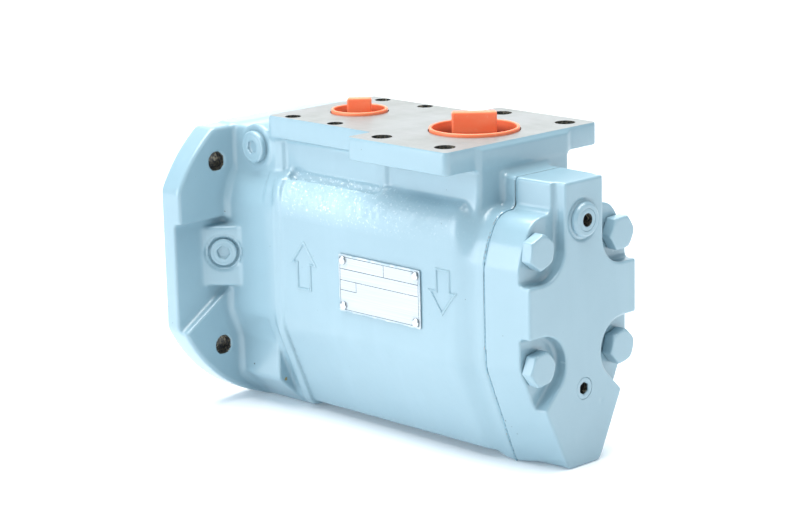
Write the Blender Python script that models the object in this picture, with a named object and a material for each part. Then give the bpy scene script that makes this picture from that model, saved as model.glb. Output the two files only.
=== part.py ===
"""Flange-mounted three-screw hydraulic pump with an integral relief valve.

X runs along the shaft, from the shaft end (-X) to the rear cover (+X).  Z points up, towards the
two port faces.  The origin is the centre of the pump's outline, on the base plane.
Every size below is in millimetres; make_object turns them into metres.
"""
import math

import bmesh
import bpy
from mathutils import Matrix, Vector

MM = 0.001
GAP = 0.3            # clearance between pieces that touch
EPS = 1.0            # how far a cutter or a joined solid runs past a face
ROUND = 24           # sides of a large round shape
WIDE_ROUND = 28      # sides of the widest turned shapes
FINE_ROUND = 16      # sides of a plug, a bush or a valve piece
SMALL_ROUND = 12     # sides of a drilled hole

# Shaft line and the stations along it
AXIS_Z = 68.0
FLANGE_FACE_X = -73.0
FLANGE_BACK_X = -61.0
POCKET_FLOOR_X = -65.0
NECK_END_X = -35.0
RIDGE_X = (-32.0, -27.0)
FLARE_X = (70.0, 83.0)
JOINT_X = 88.6
GASKET_X = (88.9, 89.4)
COVER_X = 89.7
COVER_END_X = 113.0
SHAFT_TIP_X = -115.5

# Mounting flange: 140 mm round, cut flat on four sides
FLANGE_R = 70.0
FLANGE_SIDE = 62.5
FLANGE_TOP_Z = 123.3
FLANGE_PCD = 115.0
FLANGE_HOLE_R = 4.5
PILOT_R = 47.5
PILOT_DEPTH = 4.0

# Port plate and the two necks below it
PLATE_TOP_Z = 130.0
PLATE_Z = 120.5
NARROW_PLATE = (-38.0, 26.0, 30.8)     # x from, x to, half width
WIDE_PLATE = (25.0, 80.5, 44.0)
OUTLET_NECK = (-38.0, 31.0, 28.0)
INLET_NECK = (25.0, 80.5, 22.0)
INLET_X = 54.0
INLET_R = 19.0
INLET_HOLES = (35.7, 69.9, 4.25)       # pitch along x, pitch along y, hole radius
OUTLET_X = -14.0
OUTLET_R = 12.5
OUTLET_HOLES = (26.2, 52.4, 3.4)
OUTLET_HOLE_DEPTH = 9.0

# Casting sections: half outlines as (y, z), from the top down to the base
NECK_HALF = [(29.5, 123.0), (29.5, 105.0), (33.2, 99.5), (35.5, 92.0), (35.5, 43.0),
             (30.4, 32.0), (30.4, 13.0), (16.0, 0.0)]
BODY_HALF = [(10.0, 107.5), (19.2, 107.5), (27.0, 107.5), (31.5, 104.8), (34.0, 100.0),
             (35.0, 94.0), (35.0, 52.0), (35.0, 42.0), (20.0, 6.0)]
JOINT_HALF = [(10.0, 104.5), (19.2, 104.3), (23.2, 102.9), (26.1, 99.8), (29.6, 93.2),
              (32.2, 85.0), (32.2, 52.3), (31.6, 42.0), (15.1, 0.0)]
END_HALF = [(8.0, 104.5), (18.2, 104.3), (22.2, 102.9), (25.1, 99.8), (28.6, 93.2),
            (31.4, 85.0), (31.4, 52.3), (31.4, 45.0), (9.2, 0.0)]
RIDGE_RISE = 1.0
BOSS_HALF = (13.4, 12.6)               # top boss half width at the joint and at the end face
BOSS_TOP_Z = 117.0
BOSS_START_X = 79.5

# Slanting gauge boss between the flange and the neck, and its plug
GAUGE_CORNERS = [(-66.0, -48.0), (-51.5, -33.5), (-51.5, -20.0), (-66.0, -20.0)]
GAUGE_Z = (54.5, 80.0)
GAUGE_CENTRE = (-58.75, -40.75, 69.0)
GAUGE_SPOT_R = 9.0
VENT_CENTRE = (-48.0, -29.5, 115.5)

# Rear cover fasteners and pockets
COVER_BOLT_PITCH = 23.5                # half of the square bolt pitch
COVER_BOLT_R = 4.0
COVER_BOLT_TIP_X = 70.0
POCKET_R = 13.0
POCKET_X = 107.5
DRAIN_Z = 32.0

# Screw set: power rotor 5/3 of the pitch, idlers on both sides of it
PITCH_R = 9.0
CENTRES = 2.0 * PITCH_R
POWER_TIP_R = 15.0
IDLER_CORE_R = 3.0
TIP_HALF_ANGLE = math.radians(18.7)
ROOT_HALF_ANGLE = math.radians(45.0)
SCREW_LEAD = 50.0
SCREW_INSET = 0.22
POWER_THREAD_X = (0.0, 63.0)
IDLER_THREAD_X = (2.0, 64.0)
SCREW_STEP = 3.5

# Port closures
PLUG_DEPTH = 14.0
PLUG_FLOOR = 6.0
TAB_TURN = math.radians(-44.0)

# Chambers
BORE_GAP = 0.35
DISCHARGE_X = (-26.0, 0.0)
DISCHARGE_R = 25.0
SUCTION_X = 66.0
SUCTION_ROOM = (12.0, 84.0, 112.0)     # half width, z from, z to

# Drive end: front cover, bearing, seal, balance bush
COVER_BORE_R = 36.0
COVER_BORE_X = -67.0
SPIGOT_BORE_R = 25.0
SPIGOT_END_X = -37.7
BALANCE_BORE_R = 16.3
FRONT_SCREW_R = 30.5
BEARING_X = (-72.0, -60.0)
BALL_R = 3.175
BALL_CIRCLE_R = 15.5
BALL_COUNT = 9

# Relief valve
VALVE_Z = 101.0
VALVE_SEAT_X = 50.0
VALVE_BORE_R = 7.0
VALVE_CHANNEL_R = 4.0
SPRING_COIL_R = 4.6
SPRING_WIRE_R = 0.8

PAINT = (0.42, 0.58, 0.66)
STEEL = (0.55, 0.56, 0.58)
BRONZE = (0.55, 0.38, 0.18)
RUBBER = (0.03, 0.03, 0.03)
ORANGE = (0.90, 0.16, 0.05)


# ---------------------------------------------------------------- mesh tools
def clear_scene():
    for obj in list(bpy.data.objects):
        bpy.data.objects.remove(obj)


def material(name, colour, roughness, metallic):
    mat = bpy.data.materials.new(name)
    mat.use_nodes = True
    shader = mat.node_tree.nodes["Principled BSDF"]
    shader.inputs["Base Color"].default_value = (*colour, 1.0)
    shader.inputs["Roughness"].default_value = roughness
    shader.inputs["Metallic"].default_value = metallic
    return mat


def make_object(name, points, faces, origin=(0.0, 0.0, 0.0)):
    """A closed mesh from points in millimetres, given relative to origin."""
    mesh = bpy.data.meshes.new(name)
    bm = bmesh.new()
    verts = [bm.verts.new(Vector(p) * MM) for p in points]
    for face in faces:
        bm.faces.new([verts[i] for i in face])
    sides = [f for f in bm.faces if len(f.verts) == 4]
    bmesh.ops.connect_verts_nonplanar(bm, angle_limit=0.0001, faces=sides)
    bmesh.ops.recalc_face_normals(bm, faces=bm.faces)
    bm.to_mesh(mesh)
    bm.free()
    obj = bpy.data.objects.new(name, mesh)
    obj.location = Vector(origin) * MM
    bpy.context.scene.collection.objects.link(obj)
    bpy.context.view_layer.update()
    return obj


def loft(name, loops, origin=(0.0, 0.0, 0.0)):
    """A solid through loops with equal point counts, closed by flat caps."""
    count = len(loops[0])
    points = [p for loop in loops for p in loop]
    faces = [list(range(count)), list(range(len(points) - count, len(points)))]
    for row in range(len(loops) - 1):
        for i in range(count):
            j = (i + 1) % count
            a = row * count
            b = a + count
            faces.append([a + i, a + j, b + j, b + i])
    return make_object(name, points, faces, origin)


def along_x(outline, x):
    return [(x, y, z) for y, z in outline]


def prism(name, outline, x_from, x_to):
    """A (y, z) outline extruded along X."""
    return loft(name, [along_x(outline, x_from), along_x(outline, x_to)])


def upright(name, outline, z_from, z_to):
    """An (x, y) outline extruded along Z."""
    return loft(name, [[(x, y, z_from) for x, y in outline], [(x, y, z_to) for x, y in outline]])


def block(name, x, y, z):
    return prism(name, [(y[0], z[0]), (y[1], z[0]), (y[1], z[1]), (y[0], z[1])], x[0], x[1])


def mirrored(half):
    """A full outline from its right half, listed from the top down."""
    return half + [(-y, z) for y, z in reversed(half)]


def arc(radius, start, end, steps, centre=(0.0, 0.0)):
    """Points of an arc, its ends included; angles in degrees."""
    points = []
    for i in range(steps + 1):
        angle = math.radians(start + (end - start) * i / steps)
        points.append((centre[0] + radius * math.cos(angle), centre[1] + radius * math.sin(angle)))
    return points


def turned(name, profile, origin, direction=(1.0, 0.0, 0.0), sides=ROUND, ring=False):
    """A turned solid: (distance, radius) points along direction, or a closed ring profile."""
    points = []
    for along, radius in profile:
        for i in range(sides):
            angle = 2.0 * math.pi * i / sides
            points.append((along, radius * math.cos(angle), radius * math.sin(angle)))
    rows = len(profile)
    faces = []
    for row in range(rows if ring else rows - 1):
        a = row * sides
        b = ((row + 1) % rows) * sides
        for i in range(sides):
            j = (i + 1) % sides
            faces.append([a + i, a + j, b + j, b + i])
    if not ring:
        faces.append(list(range(sides)))
        faces.append(list(range((rows - 1) * sides, rows * sides)))
    obj = make_object(name, points, faces, origin)
    obj.rotation_mode = "QUATERNION"
    obj.rotation_quaternion = Vector((1.0, 0.0, 0.0)).rotation_difference(Vector(direction))
    bpy.context.view_layer.update()
    return obj


def cylinder(name, radius, origin, length, direction=(1.0, 0.0, 0.0), sides=ROUND):
    return turned(name, [(0.0, radius), (length, radius)], origin, direction, sides)


def hex_hole(name, across_flats, origin, depth, direction=(1.0, 0.0, 0.0)):
    """A hexagonal cutter, sunk by depth against direction from origin."""
    radius = across_flats / math.sqrt(3.0)
    start = Vector(origin) - Vector(direction).normalized() * depth
    return turned(name, [(0.0, radius), (depth + EPS, radius)], start, direction, 6)


def coil(name, coil_r, wire_r, length, turns, origin, steps_per_turn, wire_sides):
    """A helical spring along X, with its origin on its own axis."""
    steps = int(turns * steps_per_turn)
    loops = []
    for i in range(steps + 1):
        angle = 2.0 * math.pi * i / steps_per_turn
        outward = Vector((0.0, math.cos(angle), math.sin(angle)))
        centre = outward * coil_r + Vector((wire_r + (length - 2 * wire_r) * i / steps, 0.0, 0.0))
        loop = []
        for k in range(wire_sides):
            turn = 2.0 * math.pi * k / wire_sides
            loop.append(centre + outward * wire_r * math.cos(turn)
                        + Vector((wire_r * math.sin(turn), 0.0, 0.0)))
        loops.append(loop)
    return loft(name, loops, origin)


def torus(name, major_r, minor_r, origin, sides):
    return turned(name, arc(minor_r, 0.0, 300.0, 5, (0.0, major_r)), origin, sides=sides, ring=True)


def combine(target, tool, operation):
    """Apply one Boolean and drop the tool."""
    modifier = target.modifiers.new(operation.lower(), "BOOLEAN")
    modifier.operation = operation
    modifier.solver = "EXACT"
    modifier.object = tool
    graph = bpy.context.evaluated_depsgraph_get()
    result = bpy.data.meshes.new_from_object(target.evaluated_get(graph))
    target.modifiers.clear()
    target.data = result
    result.name = target.name
    bpy.data.objects.remove(tool)
    return target


def join(target, *tools):
    for tool in tools:
        combine(target, tool, "UNION")
    return target


def cut(target, *tools):
    for tool in tools:
        combine(target, tool, "DIFFERENCE")
    return target


def finish(obj, mat, smooth=True):
    obj.data.materials.clear()
    obj.data.materials.append(mat)
    if smooth:
        obj.data.shade_smooth()
        obj.data.set_sharp_from_angle(angle=math.radians(32.0))
    return obj


def corners(pitch_y, pitch_z):
    """The four corners of a bolt square about the shaft axis."""
    return [(sy * pitch_y, AXIS_Z + sz * pitch_z) for sy in (-1, 1) for sz in (-1, 1)]


# ---------------------------------------------------------------- casting
def flange_outline():
    top = math.degrees(math.asin((FLANGE_TOP_Z - AXIS_Z) / FLANGE_R))
    side = math.degrees(math.acos(FLANGE_SIDE / FLANGE_R))
    base = math.degrees(math.asin(AXIS_Z / FLANGE_R))
    centre = (0.0, AXIS_Z)
    outline = arc(FLANGE_R, side, top, 3, centre)
    outline += arc(FLANGE_R, 180.0 - top, 180.0 - side, 3, centre)
    outline += arc(FLANGE_R, 180.0 + side, 180.0 + base, 6, centre)
    outline += arc(FLANGE_R, -base, -side, 6, centre)
    return [(y, z if z > 0.01 else 0.0) for y, z in outline]


def flange_solid():
    """Flange plate with the four bolt pads left standing proud of the side pockets."""
    flange = prism("pump_body", flange_outline(), FLANGE_FACE_X, FLANGE_BACK_X)
    for side in (-1, 1):
        pocket = [(30.0, 84.0), (75.0, 84.0), (75.0, 27.0), (62.8, 34.8), (41.8, 48.5), (30.0, 56.0)]
        outline = [(side * y, z) for y, z in pocket]
        cut(flange, prism("pocket", outline, POCKET_FLOOR_X, FLANGE_BACK_X + EPS))
    pilot_x = FLANGE_FACE_X - PILOT_DEPTH
    join(flange, cylinder("pilot", PILOT_R, (pilot_x, 0.0, AXIS_Z), PILOT_DEPTH + EPS, sides=WIDE_ROUND))
    return flange


def plate_block(name, span, z_from, z_to):
    x_from, x_to, half = span
    return block(name, (x_from, x_to), (-half, half), (z_from, z_to))


def ridge_half():
    """The body's sides and base, grown outwards by the height of the front ridge."""
    half = [(30.0, 103.0)] + [(y + RIDGE_RISE, z) for y, z in BODY_HALF[4:-1]]
    return half + [(BODY_HALF[-1][0] + RIDGE_RISE, BODY_HALF[-1][1] - RIDGE_RISE)]


def casting():
    body = flange_solid()
    low = PLATE_Z - 20.0
    rear_boss = [(-BOSS_HALF[0], 90.0), (BOSS_HALF[0], 90.0),
                 (BOSS_HALF[0], BOSS_TOP_Z), (-BOSS_HALF[0], BOSS_TOP_Z)]
    body_outline = mirrored(BODY_HALF)
    joint_outline = mirrored(JOINT_HALF)
    trunk = [along_x(body_outline, NECK_END_X - 2.0), along_x(body_outline, FLARE_X[0]),
             along_x(joint_outline, FLARE_X[1]), along_x(joint_outline, JOINT_X)]
    join(body,
         prism("neck", mirrored(NECK_HALF), FLANGE_BACK_X - 8.0, NECK_END_X),
         loft("trunk", trunk),
         prism("ridge", mirrored(ridge_half()), *RIDGE_X),
         prism("rear_boss", rear_boss, BOSS_START_X, JOINT_X),
         plate_block("outlet_neck", OUTLET_NECK, low, PLATE_Z + EPS),
         plate_block("inlet_neck", INLET_NECK, low, PLATE_Z + EPS),
         plate_block("narrow_plate", NARROW_PLATE, PLATE_Z, PLATE_TOP_Z),
         plate_block("wide_plate", WIDE_PLATE, PLATE_Z, PLATE_TOP_Z),
         upright("gauge_boss", GAUGE_CORNERS, *GAUGE_Z))
    return body


def cut_ports(body):
    cut(body,
        cylinder("inlet", INLET_R, (INLET_X, 0.0, 106.0), 40.0, (0, 0, 1)),
        cylinder("outlet", OUTLET_R, (OUTLET_X, 0.0, AXIS_Z + 12.0), 60.0, (0, 0, 1)))
    for centre_x, holes, depth in ((INLET_X, INLET_HOLES, PLATE_TOP_Z - PLATE_Z + EPS),
                                   (OUTLET_X, OUTLET_HOLES, OUTLET_HOLE_DEPTH)):
        for sx in (-0.5, 0.5):
            for sy in (-0.5, 0.5):
                origin = (centre_x + sx * holes[0], sy * holes[1], PLATE_TOP_Z - depth)
                cut(body, cylinder("hole", holes[2], origin, depth + EPS, (0, 0, 1), SMALL_ROUND))


def cut_screw_bores(body):
    end = JOINT_X + EPS
    cut(body, cylinder("power_bore", POWER_TIP_R + BORE_GAP, (DISCHARGE_X[1] - EPS, 0.0, AXIS_Z),
                       end - DISCHARGE_X[1] + EPS))
    for side in (-1, 1):
        origin = (DISCHARGE_X[1] - EPS, side * CENTRES, AXIS_Z)
        cut(body, cylinder("idler_bore", PITCH_R + BORE_GAP, origin, end - DISCHARGE_X[1] + EPS))
        origin = (SUCTION_X, side * CENTRES, AXIS_Z)
        cut(body, cylinder("idler_room", PITCH_R + 1.5, origin, end - SUCTION_X))
    length = DISCHARGE_X[1] - DISCHARGE_X[0]
    cut(body, cylinder("discharge", DISCHARGE_R, (DISCHARGE_X[0], 0.0, AXIS_Z), length))
    half, z_from, z_to = SUCTION_ROOM
    cut(body,
        cylinder("power_room", POWER_TIP_R + 2.0, (SUCTION_X, 0.0, AXIS_Z), end - SUCTION_X),
        block("suction_room", (SUCTION_X, end), (-half, half), (z_from - 8.0, z_to)))


def cut_valve_passage(body):
    channel_x = OUTLET_X + OUTLET_R - 3.0
    cut(body,
        cylinder("valve_bore", VALVE_BORE_R, (VALVE_SEAT_X, 0.0, VALVE_Z), 30.0, sides=FINE_ROUND),
        cylinder("channel", VALVE_CHANNEL_R, (channel_x, 0.0, VALVE_Z),
                 VALVE_SEAT_X - channel_x + EPS, sides=SMALL_ROUND))


def cut_drive_end(body):
    face_x = FLANGE_FACE_X - PILOT_DEPTH - EPS
    for x_to, radius in ((COVER_BORE_X, COVER_BORE_R), (SPIGOT_END_X, SPIGOT_BORE_R),
                         (DISCHARGE_X[0] + EPS, BALANCE_BORE_R)):
        cut(body, cylinder("front_bore", radius, (face_x, 0.0, AXIS_Z), x_to - face_x, sides=WIDE_ROUND))
    for y, z in corners(FLANGE_PCD / math.sqrt(8.0), FLANGE_PCD / math.sqrt(8.0)):
        cut(body, cylinder("flange_hole", FLANGE_HOLE_R, (face_x, y, z), 20.0, sides=SMALL_ROUND))
    for y, z in front_screw_places():
        cut(body, cylinder("tapped_hole", 2.8, (COVER_BORE_X - EPS, y, z), 14.0, sides=12))


def cut_cover_and_plug_holes(body):
    for y, z in corners(COVER_BOLT_PITCH, COVER_BOLT_PITCH):
        origin = (COVER_BOLT_TIP_X - 1.0, y, z)
        cut(body, cylinder("bolt_hole", COVER_BOLT_R + GAP, origin, 30.0, sides=SMALL_ROUND))
    cut(body, cylinder("vent_hole", 4.9, VENT_CENTRE[:1] + (-14.0,) + VENT_CENTRE[2:], 20.0,
                       (0, -1, 0), SMALL_ROUND))
    inward = Vector((-1.0, 1.0, 0.0)).normalized()
    spot = Vector(GAUGE_CENTRE) - inward * EPS
    cut(body,
        cylinder("gauge_spot", GAUGE_SPOT_R, spot, EPS + 0.6, inward),
        cylinder("gauge_counterbore", 7.1, spot, EPS + 2.4, inward, FINE_ROUND),
        cylinder("gauge_hole", 4.9, spot, EPS + 9.0, inward, SMALL_ROUND))


def make_body():
    body = casting()
    cut_ports(body)
    cut_screw_bores(body)
    cut_valve_passage(body)
    cut_drive_end(body)
    cut_cover_and_plug_holes(body)
    finish(body, material("pump_body", PAINT, 0.35, 0.0))


# ---------------------------------------------------------------- rear cover
def pocket_cutters():
    """Cutters that sink the four bolt heads into the end face and open to the sides."""
    tools = []
    length = COVER_END_X - POCKET_X + EPS
    for side in (-1, 1):
        y = side * COVER_BOLT_PITCH
        out = side * 60.0
        wall = side * (COVER_BOLT_PITCH - POCKET_R)
        high = AXIS_Z + COVER_BOLT_PITCH
        low = AXIS_Z - COVER_BOLT_PITCH
        for z in (high, low):
            tools.append(cylinder("pocket", POCKET_R, (POCKET_X, y, z), length))
        span = (POCKET_X, COVER_END_X + EPS)
        tools.append(block("pocket_side", span, sorted((y, out)), (high - POCKET_R, high)))
        tools.append(block("pocket_top", span, sorted((wall, out)), (high, 140.0)))
        tools.append(block("pocket_low", span, sorted((y, out)), (low, low + POCKET_R)))
    return tools


def make_rear_cover():
    body_outline = mirrored(JOINT_HALF)
    end_outline = mirrored(END_HALF)
    cover = loft("rear_cover", [along_x(body_outline, COVER_X), along_x(end_outline, COVER_END_X)])
    boss = []
    for x, half in ((COVER_X, BOSS_HALF[0]), (COVER_END_X, BOSS_HALF[1])):
        boss.append([(x, -half, 90.0), (x, half, 90.0), (x, half, BOSS_TOP_Z), (x, -half, BOSS_TOP_Z)])
    join(cover, loft("boss", boss))
    cut(cover, *pocket_cutters())
    for y, z in corners(COVER_BOLT_PITCH, COVER_BOLT_PITCH):
        origin = (COVER_X - EPS, y, z)
        cut(cover, cylinder("bolt_hole", COVER_BOLT_R + 0.5, origin, 40.0, sides=SMALL_ROUND))
    for side in (-1, 1):
        origin = (COVER_X - EPS, side * CENTRES, AXIS_Z)
        cut(cover, cylinder("bush_seat", 8.0, origin, EPS + 8.0, sides=FINE_ROUND))
    start = (COVER_X - EPS, 0.0, VALVE_Z)
    cut(cover,
        cylinder("spring_room", 7.3, start, EPS + 13.5, sides=FINE_ROUND),
        cylinder("gland_hole", 6.3, start, 40.0, sides=FINE_ROUND),
        cylinder("drain_hole", 4.8, (COVER_END_X - 9.0, 0.0, DRAIN_Z), 20.0, sides=SMALL_ROUND))
    finish(cover, material("rear_cover", PAINT, 0.35, 0.0))


def make_rear_gasket():
    outline = mirrored([(y - GAP, max(z, GAP)) for y, z in JOINT_HALF])
    gasket = prism("rear_gasket", outline, *GASKET_X)
    join(gasket, block("tab", GASKET_X, (-13.0, 13.0), (95.0, BOSS_TOP_Z - GAP)))
    start = GASKET_X[0] - EPS
    half, z_from, z_to = SUCTION_ROOM
    cut(gasket,
        cylinder("power_hole", POWER_TIP_R + 2.0, (start, 0.0, AXIS_Z), 4.0),
        block("room_hole", (start, start + 4.0), (-half, half), (z_from - 8.0, z_to)))
    for side in (-1, 1):
        cut(gasket, cylinder("idler_hole", PITCH_R + 1.5, (start, side * CENTRES, AXIS_Z), 4.0))
    for y, z in corners(COVER_BOLT_PITCH, COVER_BOLT_PITCH):
        cut(gasket, cylinder("bolt_hole", COVER_BOLT_R + 0.5, (start, y, z), 4.0, sides=SMALL_ROUND))
    finish(gasket, material("rear_gasket", (0.10, 0.11, 0.10), 0.7, 0.0))


def cover_bolt(name, y, z):
    """M8 hexagon head bolt, 13 mm across flats; the head's base rests just off the pocket floor."""
    base = POCKET_X + GAP
    head = turned(name, [(0.0, 7.5), (4.9, 7.5), (5.3, 6.9)], (base, y, z), sides=6)
    shank_length = base - COVER_BOLT_TIP_X
    shank = cylinder("shank", COVER_BOLT_R, (COVER_BOLT_TIP_X, y, z), shank_length + EPS,
                     sides=SMALL_ROUND)
    return join(head, shank)


def make_cover_bolts():
    for i, (y, z) in enumerate(corners(COVER_BOLT_PITCH, COVER_BOLT_PITCH), 1):
        bolt = cover_bolt(f"rear_cover_bolt_{i}", y, z)
        finish(bolt, material(bolt.name, PAINT, 0.35, 0.0))


# ---------------------------------------------------------------- plugs and nameplate
def flanged_plug(name, origin, direction, collar_r, collar_h, shank_r, shank, across_flats):
    """Screw plug: shank below origin, collar above it, hexagon socket in the collar."""
    out = Vector(direction).normalized()
    start = Vector(origin) - out * shank
    profile = [(0.0, shank_r - 0.6), (0.8, shank_r), (shank, shank_r), (shank, collar_r),
               (shank + collar_h - 0.5, collar_r), (shank + collar_h, collar_r - 0.5)]
    plug = turned(name, profile, start, out, FINE_ROUND)
    top = Vector(origin) + out * collar_h
    cut(plug, hex_hole("socket", across_flats, top, min(4.5, shank), out))
    finish(plug, material(name, PAINT, 0.4, 0.1))


def seal_washer(name, origin, direction, inner_r, outer_r, height):
    profile = [(0.0, inner_r), (height, inner_r), (height, outer_r), (0.0, outer_r)]
    washer = turned(name, profile, origin, direction, FINE_ROUND, True)
    finish(washer, material(name, (0.62, 0.42, 0.25), 0.4, 1.0))


def make_plugs():
    outward = Vector((0.0, -1.0, 0.0))
    centre = Vector(VENT_CENTRE)
    seal_washer("vent_plug_washer", centre + outward * GAP, outward, 5.0, 6.6, 1.0)
    flanged_plug("vent_plug", centre + outward * (1.0 + 2 * GAP), outward, 6.6, 2.6, 4.6, 9.0, 5.0)
    outward = Vector((1.0, -1.0, 0.0)).normalized()
    floor = Vector(GAUGE_CENTRE) - outward * 2.4
    seal_washer("gauge_plug_washer", floor + outward * GAP, outward, 5.0, 6.6, 0.8)
    flanged_plug("gauge_plug", floor + outward * (0.8 + 2 * GAP), outward, 6.6, 2.4, 4.6, 5.5, 5.0)
    flanged_plug("drain_plug", (COVER_END_X - 0.6, 0.0, DRAIN_Z), (1.0, 0.0, 0.0),
                 4.5, 0.6, 4.4, 7.0, 5.0)


def make_nameplate():
    """Blank data plate with its four rivets, on the flat side panel."""
    x_from, x_to, z_from, z_to = 9.0, 57.0, 53.5, 78.0
    side = -BODY_HALF[5][0]
    plate = block("nameplate", (x_from, x_to), (side - 0.9, side - GAP), (z_from, z_to))
    places = [(x, z) for x in (x_from + 2.6, x_to - 2.6) for z in (z_from + 2.6, z_to - 2.6)]
    for i, (x, z) in enumerate(places, 1):
        cut(plate, cylinder("rivet_hole", 1.3, (x, side + 1.0, z), 4.0, (0, -1, 0), 12))
        profile = [(0.0, 1.0), (1.2, 1.0), (1.2, 1.9), (1.6, 1.7), (1.9, 1.0)]
        rivet = turned(f"nameplate_rivet_{i}", profile, (x, side - 0.05, z), (0, -1, 0), 12)
        finish(rivet, material(rivet.name, STEEL, 0.35, 1.0))
    finish(plate, material("nameplate", (0.80, 0.81, 0.82), 0.35, 0.6), smooth=False)


def port_plug(name, centre_x, bore_r, tab_width, tab_height):
    """Tapered plastic closure: a cup that fits the bore, with a flat pull tab across it."""
    outer = bore_r - 0.45
    floor = PLUG_FLOOR
    rim = PLUG_DEPTH + 1.4
    profile = [(0.0, outer - 0.9), (1.0, outer - 0.4), (floor, outer), (rim, outer),
               (rim, outer - 1.2), (floor, outer - 1.6), (floor, 1.0)]
    base = Vector((centre_x, 0.0, PLATE_TOP_Z - PLUG_DEPTH))
    plug = turned(name, profile, base, (0, 0, 1))
    cut(plug, turned("hollow", [(-EPS, 0.55 * outer), (floor - 1.7, 0.6 * outer)], base, (0, 0, 1)))
    half = tab_width / 2
    tab = block("tab", (-2.2, 2.2), (-half, half), (floor - 0.2, PLUG_DEPTH + tab_height))
    tab.location = base * MM
    tab.rotation_euler = (0.0, 0.0, TAB_TURN)
    bpy.context.view_layer.update()
    join(plug, tab)
    finish(plug, material(name, ORANGE, 0.45, 0.0))


# ---------------------------------------------------------------- screw set
def polar(radius, angle):
    return (radius * math.cos(angle), radius * math.sin(angle))


def power_quarter(steps=4):
    """Epicycloid flank of the power rotor, tip to root, as (radius, angle from lobe centre)."""
    last = math.acos((5.0 - (POWER_TIP_R / PITCH_R) ** 2) / 4.0)
    points = []
    for i in range(steps + 1):
        t = last * (1.0 - i / steps)
        y = PITCH_R * (2.0 * math.cos(t) - math.cos(2.0 * t))
        z = PITCH_R * (2.0 * math.sin(t) - math.sin(2.0 * t))
        points.append((math.hypot(y, z), ROOT_HALF_ANGLE - math.atan2(z, y)))
    return points


def idler_quarter(steps=4):
    """Flank of an idler groove, core to tip, as (radius, angle from groove centre)."""
    span = (CENTRES ** 2 + POWER_TIP_R ** 2 - PITCH_R ** 2) / (2.0 * CENTRES * POWER_TIP_R)
    last = math.acos(span)
    points = []
    for i in range(steps + 1):
        t = last * i / steps
        y = CENTRES * math.cos(t) - POWER_TIP_R * math.cos(2.0 * t)
        z = CENTRES * math.sin(t) - POWER_TIP_R * math.sin(2.0 * t)
        points.append((math.hypot(y, z), TIP_HALF_ANGLE - math.atan2(z, y)))
    return points


def two_start(quarter, arc_r, arc_steps):
    """A full two-start outline: crest or core arc, flank, outer arc, and the mirror of each."""
    outline = []
    for turn in (0.0, math.pi):
        outline += [polar(r, turn - a) for r, a in reversed(quarter)]
        outline += [polar(r, turn + a) for r, a in quarter]
        first = quarter[-1][1]
        for i in range(1, arc_steps):
            outline.append(polar(arc_r, turn + first + (math.pi - 2.0 * first) * i / arc_steps))
    return outline


def inset(outline, distance):
    """The outline moved inwards by distance, along the mean normal of its two edges."""
    count = len(outline)
    result = []
    for i, (y, z) in enumerate(outline):
        before = Vector(outline[i - 1])
        after = Vector(outline[(i + 1) % count])
        tangent = (after - before).normalized()
        result.append((y - tangent.y * distance, z + tangent.x * distance))
    return result


def screw(name, outline, span, hand, origin):
    """A helical solid: outline turns about X with the screw lead."""
    steps = int(round((span[1] - span[0]) / SCREW_STEP))
    loops = []
    for i in range(steps + 1):
        x = span[0] + (span[1] - span[0]) * i / steps
        angle = hand * 2.0 * math.pi * x / SCREW_LEAD
        c, s = math.cos(angle), math.sin(angle)
        loops.append([(x, y * c - z * s, y * s + z * c) for y, z in outline])
    return loft(name, loops, origin)


def make_power_rotor():
    outline = inset(two_start(power_quarter(), PITCH_R, 3), SCREW_INSET)
    rotor = screw("power_rotor", outline, POWER_THREAD_X, 1, (0.0, 0.0, AXIS_Z))
    profile = [(SHAFT_TIP_X, 8.7), (SHAFT_TIP_X + 0.8, 9.5), (-76.0, 9.5), (-76.0, 10.0), (-73.8, 10.0),
               (-73.8, 9.2), (-72.3, 9.2), (-72.3, 10.0), (-59.7, 10.0), (-59.7, 10.6), (-49.0, 10.0),
               (-36.8, 10.0), (-36.8, 12.0), (-25.5, 12.0), (-25.5, 8.6), (1.0, 8.6)]
    join(rotor,
         turned("shaft", profile, (0.0, 0.0, AXIS_Z)),
         turned("stub", [(61.5, 7.0), (71.0, 7.0), (72.0, 6.0)], (0.0, 0.0, AXIS_Z), sides=FINE_ROUND))
    cut(rotor, block("keyway", (SHAFT_TIP_X + 3.0, SHAFT_TIP_X + 29.0), (-3.15, 3.15),
                     (AXIS_Z + 6.0, AXIS_Z + 12.0)))
    finish(rotor, material("power_rotor", STEEL, 0.3, 1.0))
    key = block("shaft_key", (3.35, 28.65), (-3.0, 3.0), (6.3, 11.5))
    key.location = Vector((SHAFT_TIP_X, 0.0, AXIS_Z)) * MM
    finish(key, material("shaft_key", STEEL, 0.4, 1.0), smooth=False)


def make_idlers():
    outline = inset(two_start(idler_quarter(), PITCH_R, 3), SCREW_INSET)
    for side, tag in ((-1, "left"), (1, "right")):
        origin = (0.0, side * CENTRES, AXIS_Z)
        idler = screw("idler_rotor_" + tag, outline, IDLER_THREAD_X, -1, origin)
        journal = turned("journal", [(IDLER_THREAD_X[1] - 0.6, 5.0), (94.4, 5.0), (95.0, 4.4)],
                         origin, sides=FINE_ROUND)
        join(idler, journal)
        finish(idler, material(idler.name, STEEL, 0.3, 1.0))
        profile = [(0.0, 5.3), (14.0, 5.3), (14.0, 7.7), (0.0, 7.7)]
        place = (83.2, side * CENTRES, AXIS_Z)
        bush = turned("idler_bush_" + tag, profile, place, sides=FINE_ROUND, ring=True)
        finish(bush, material(bush.name, BRONZE, 0.4, 1.0))


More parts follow.
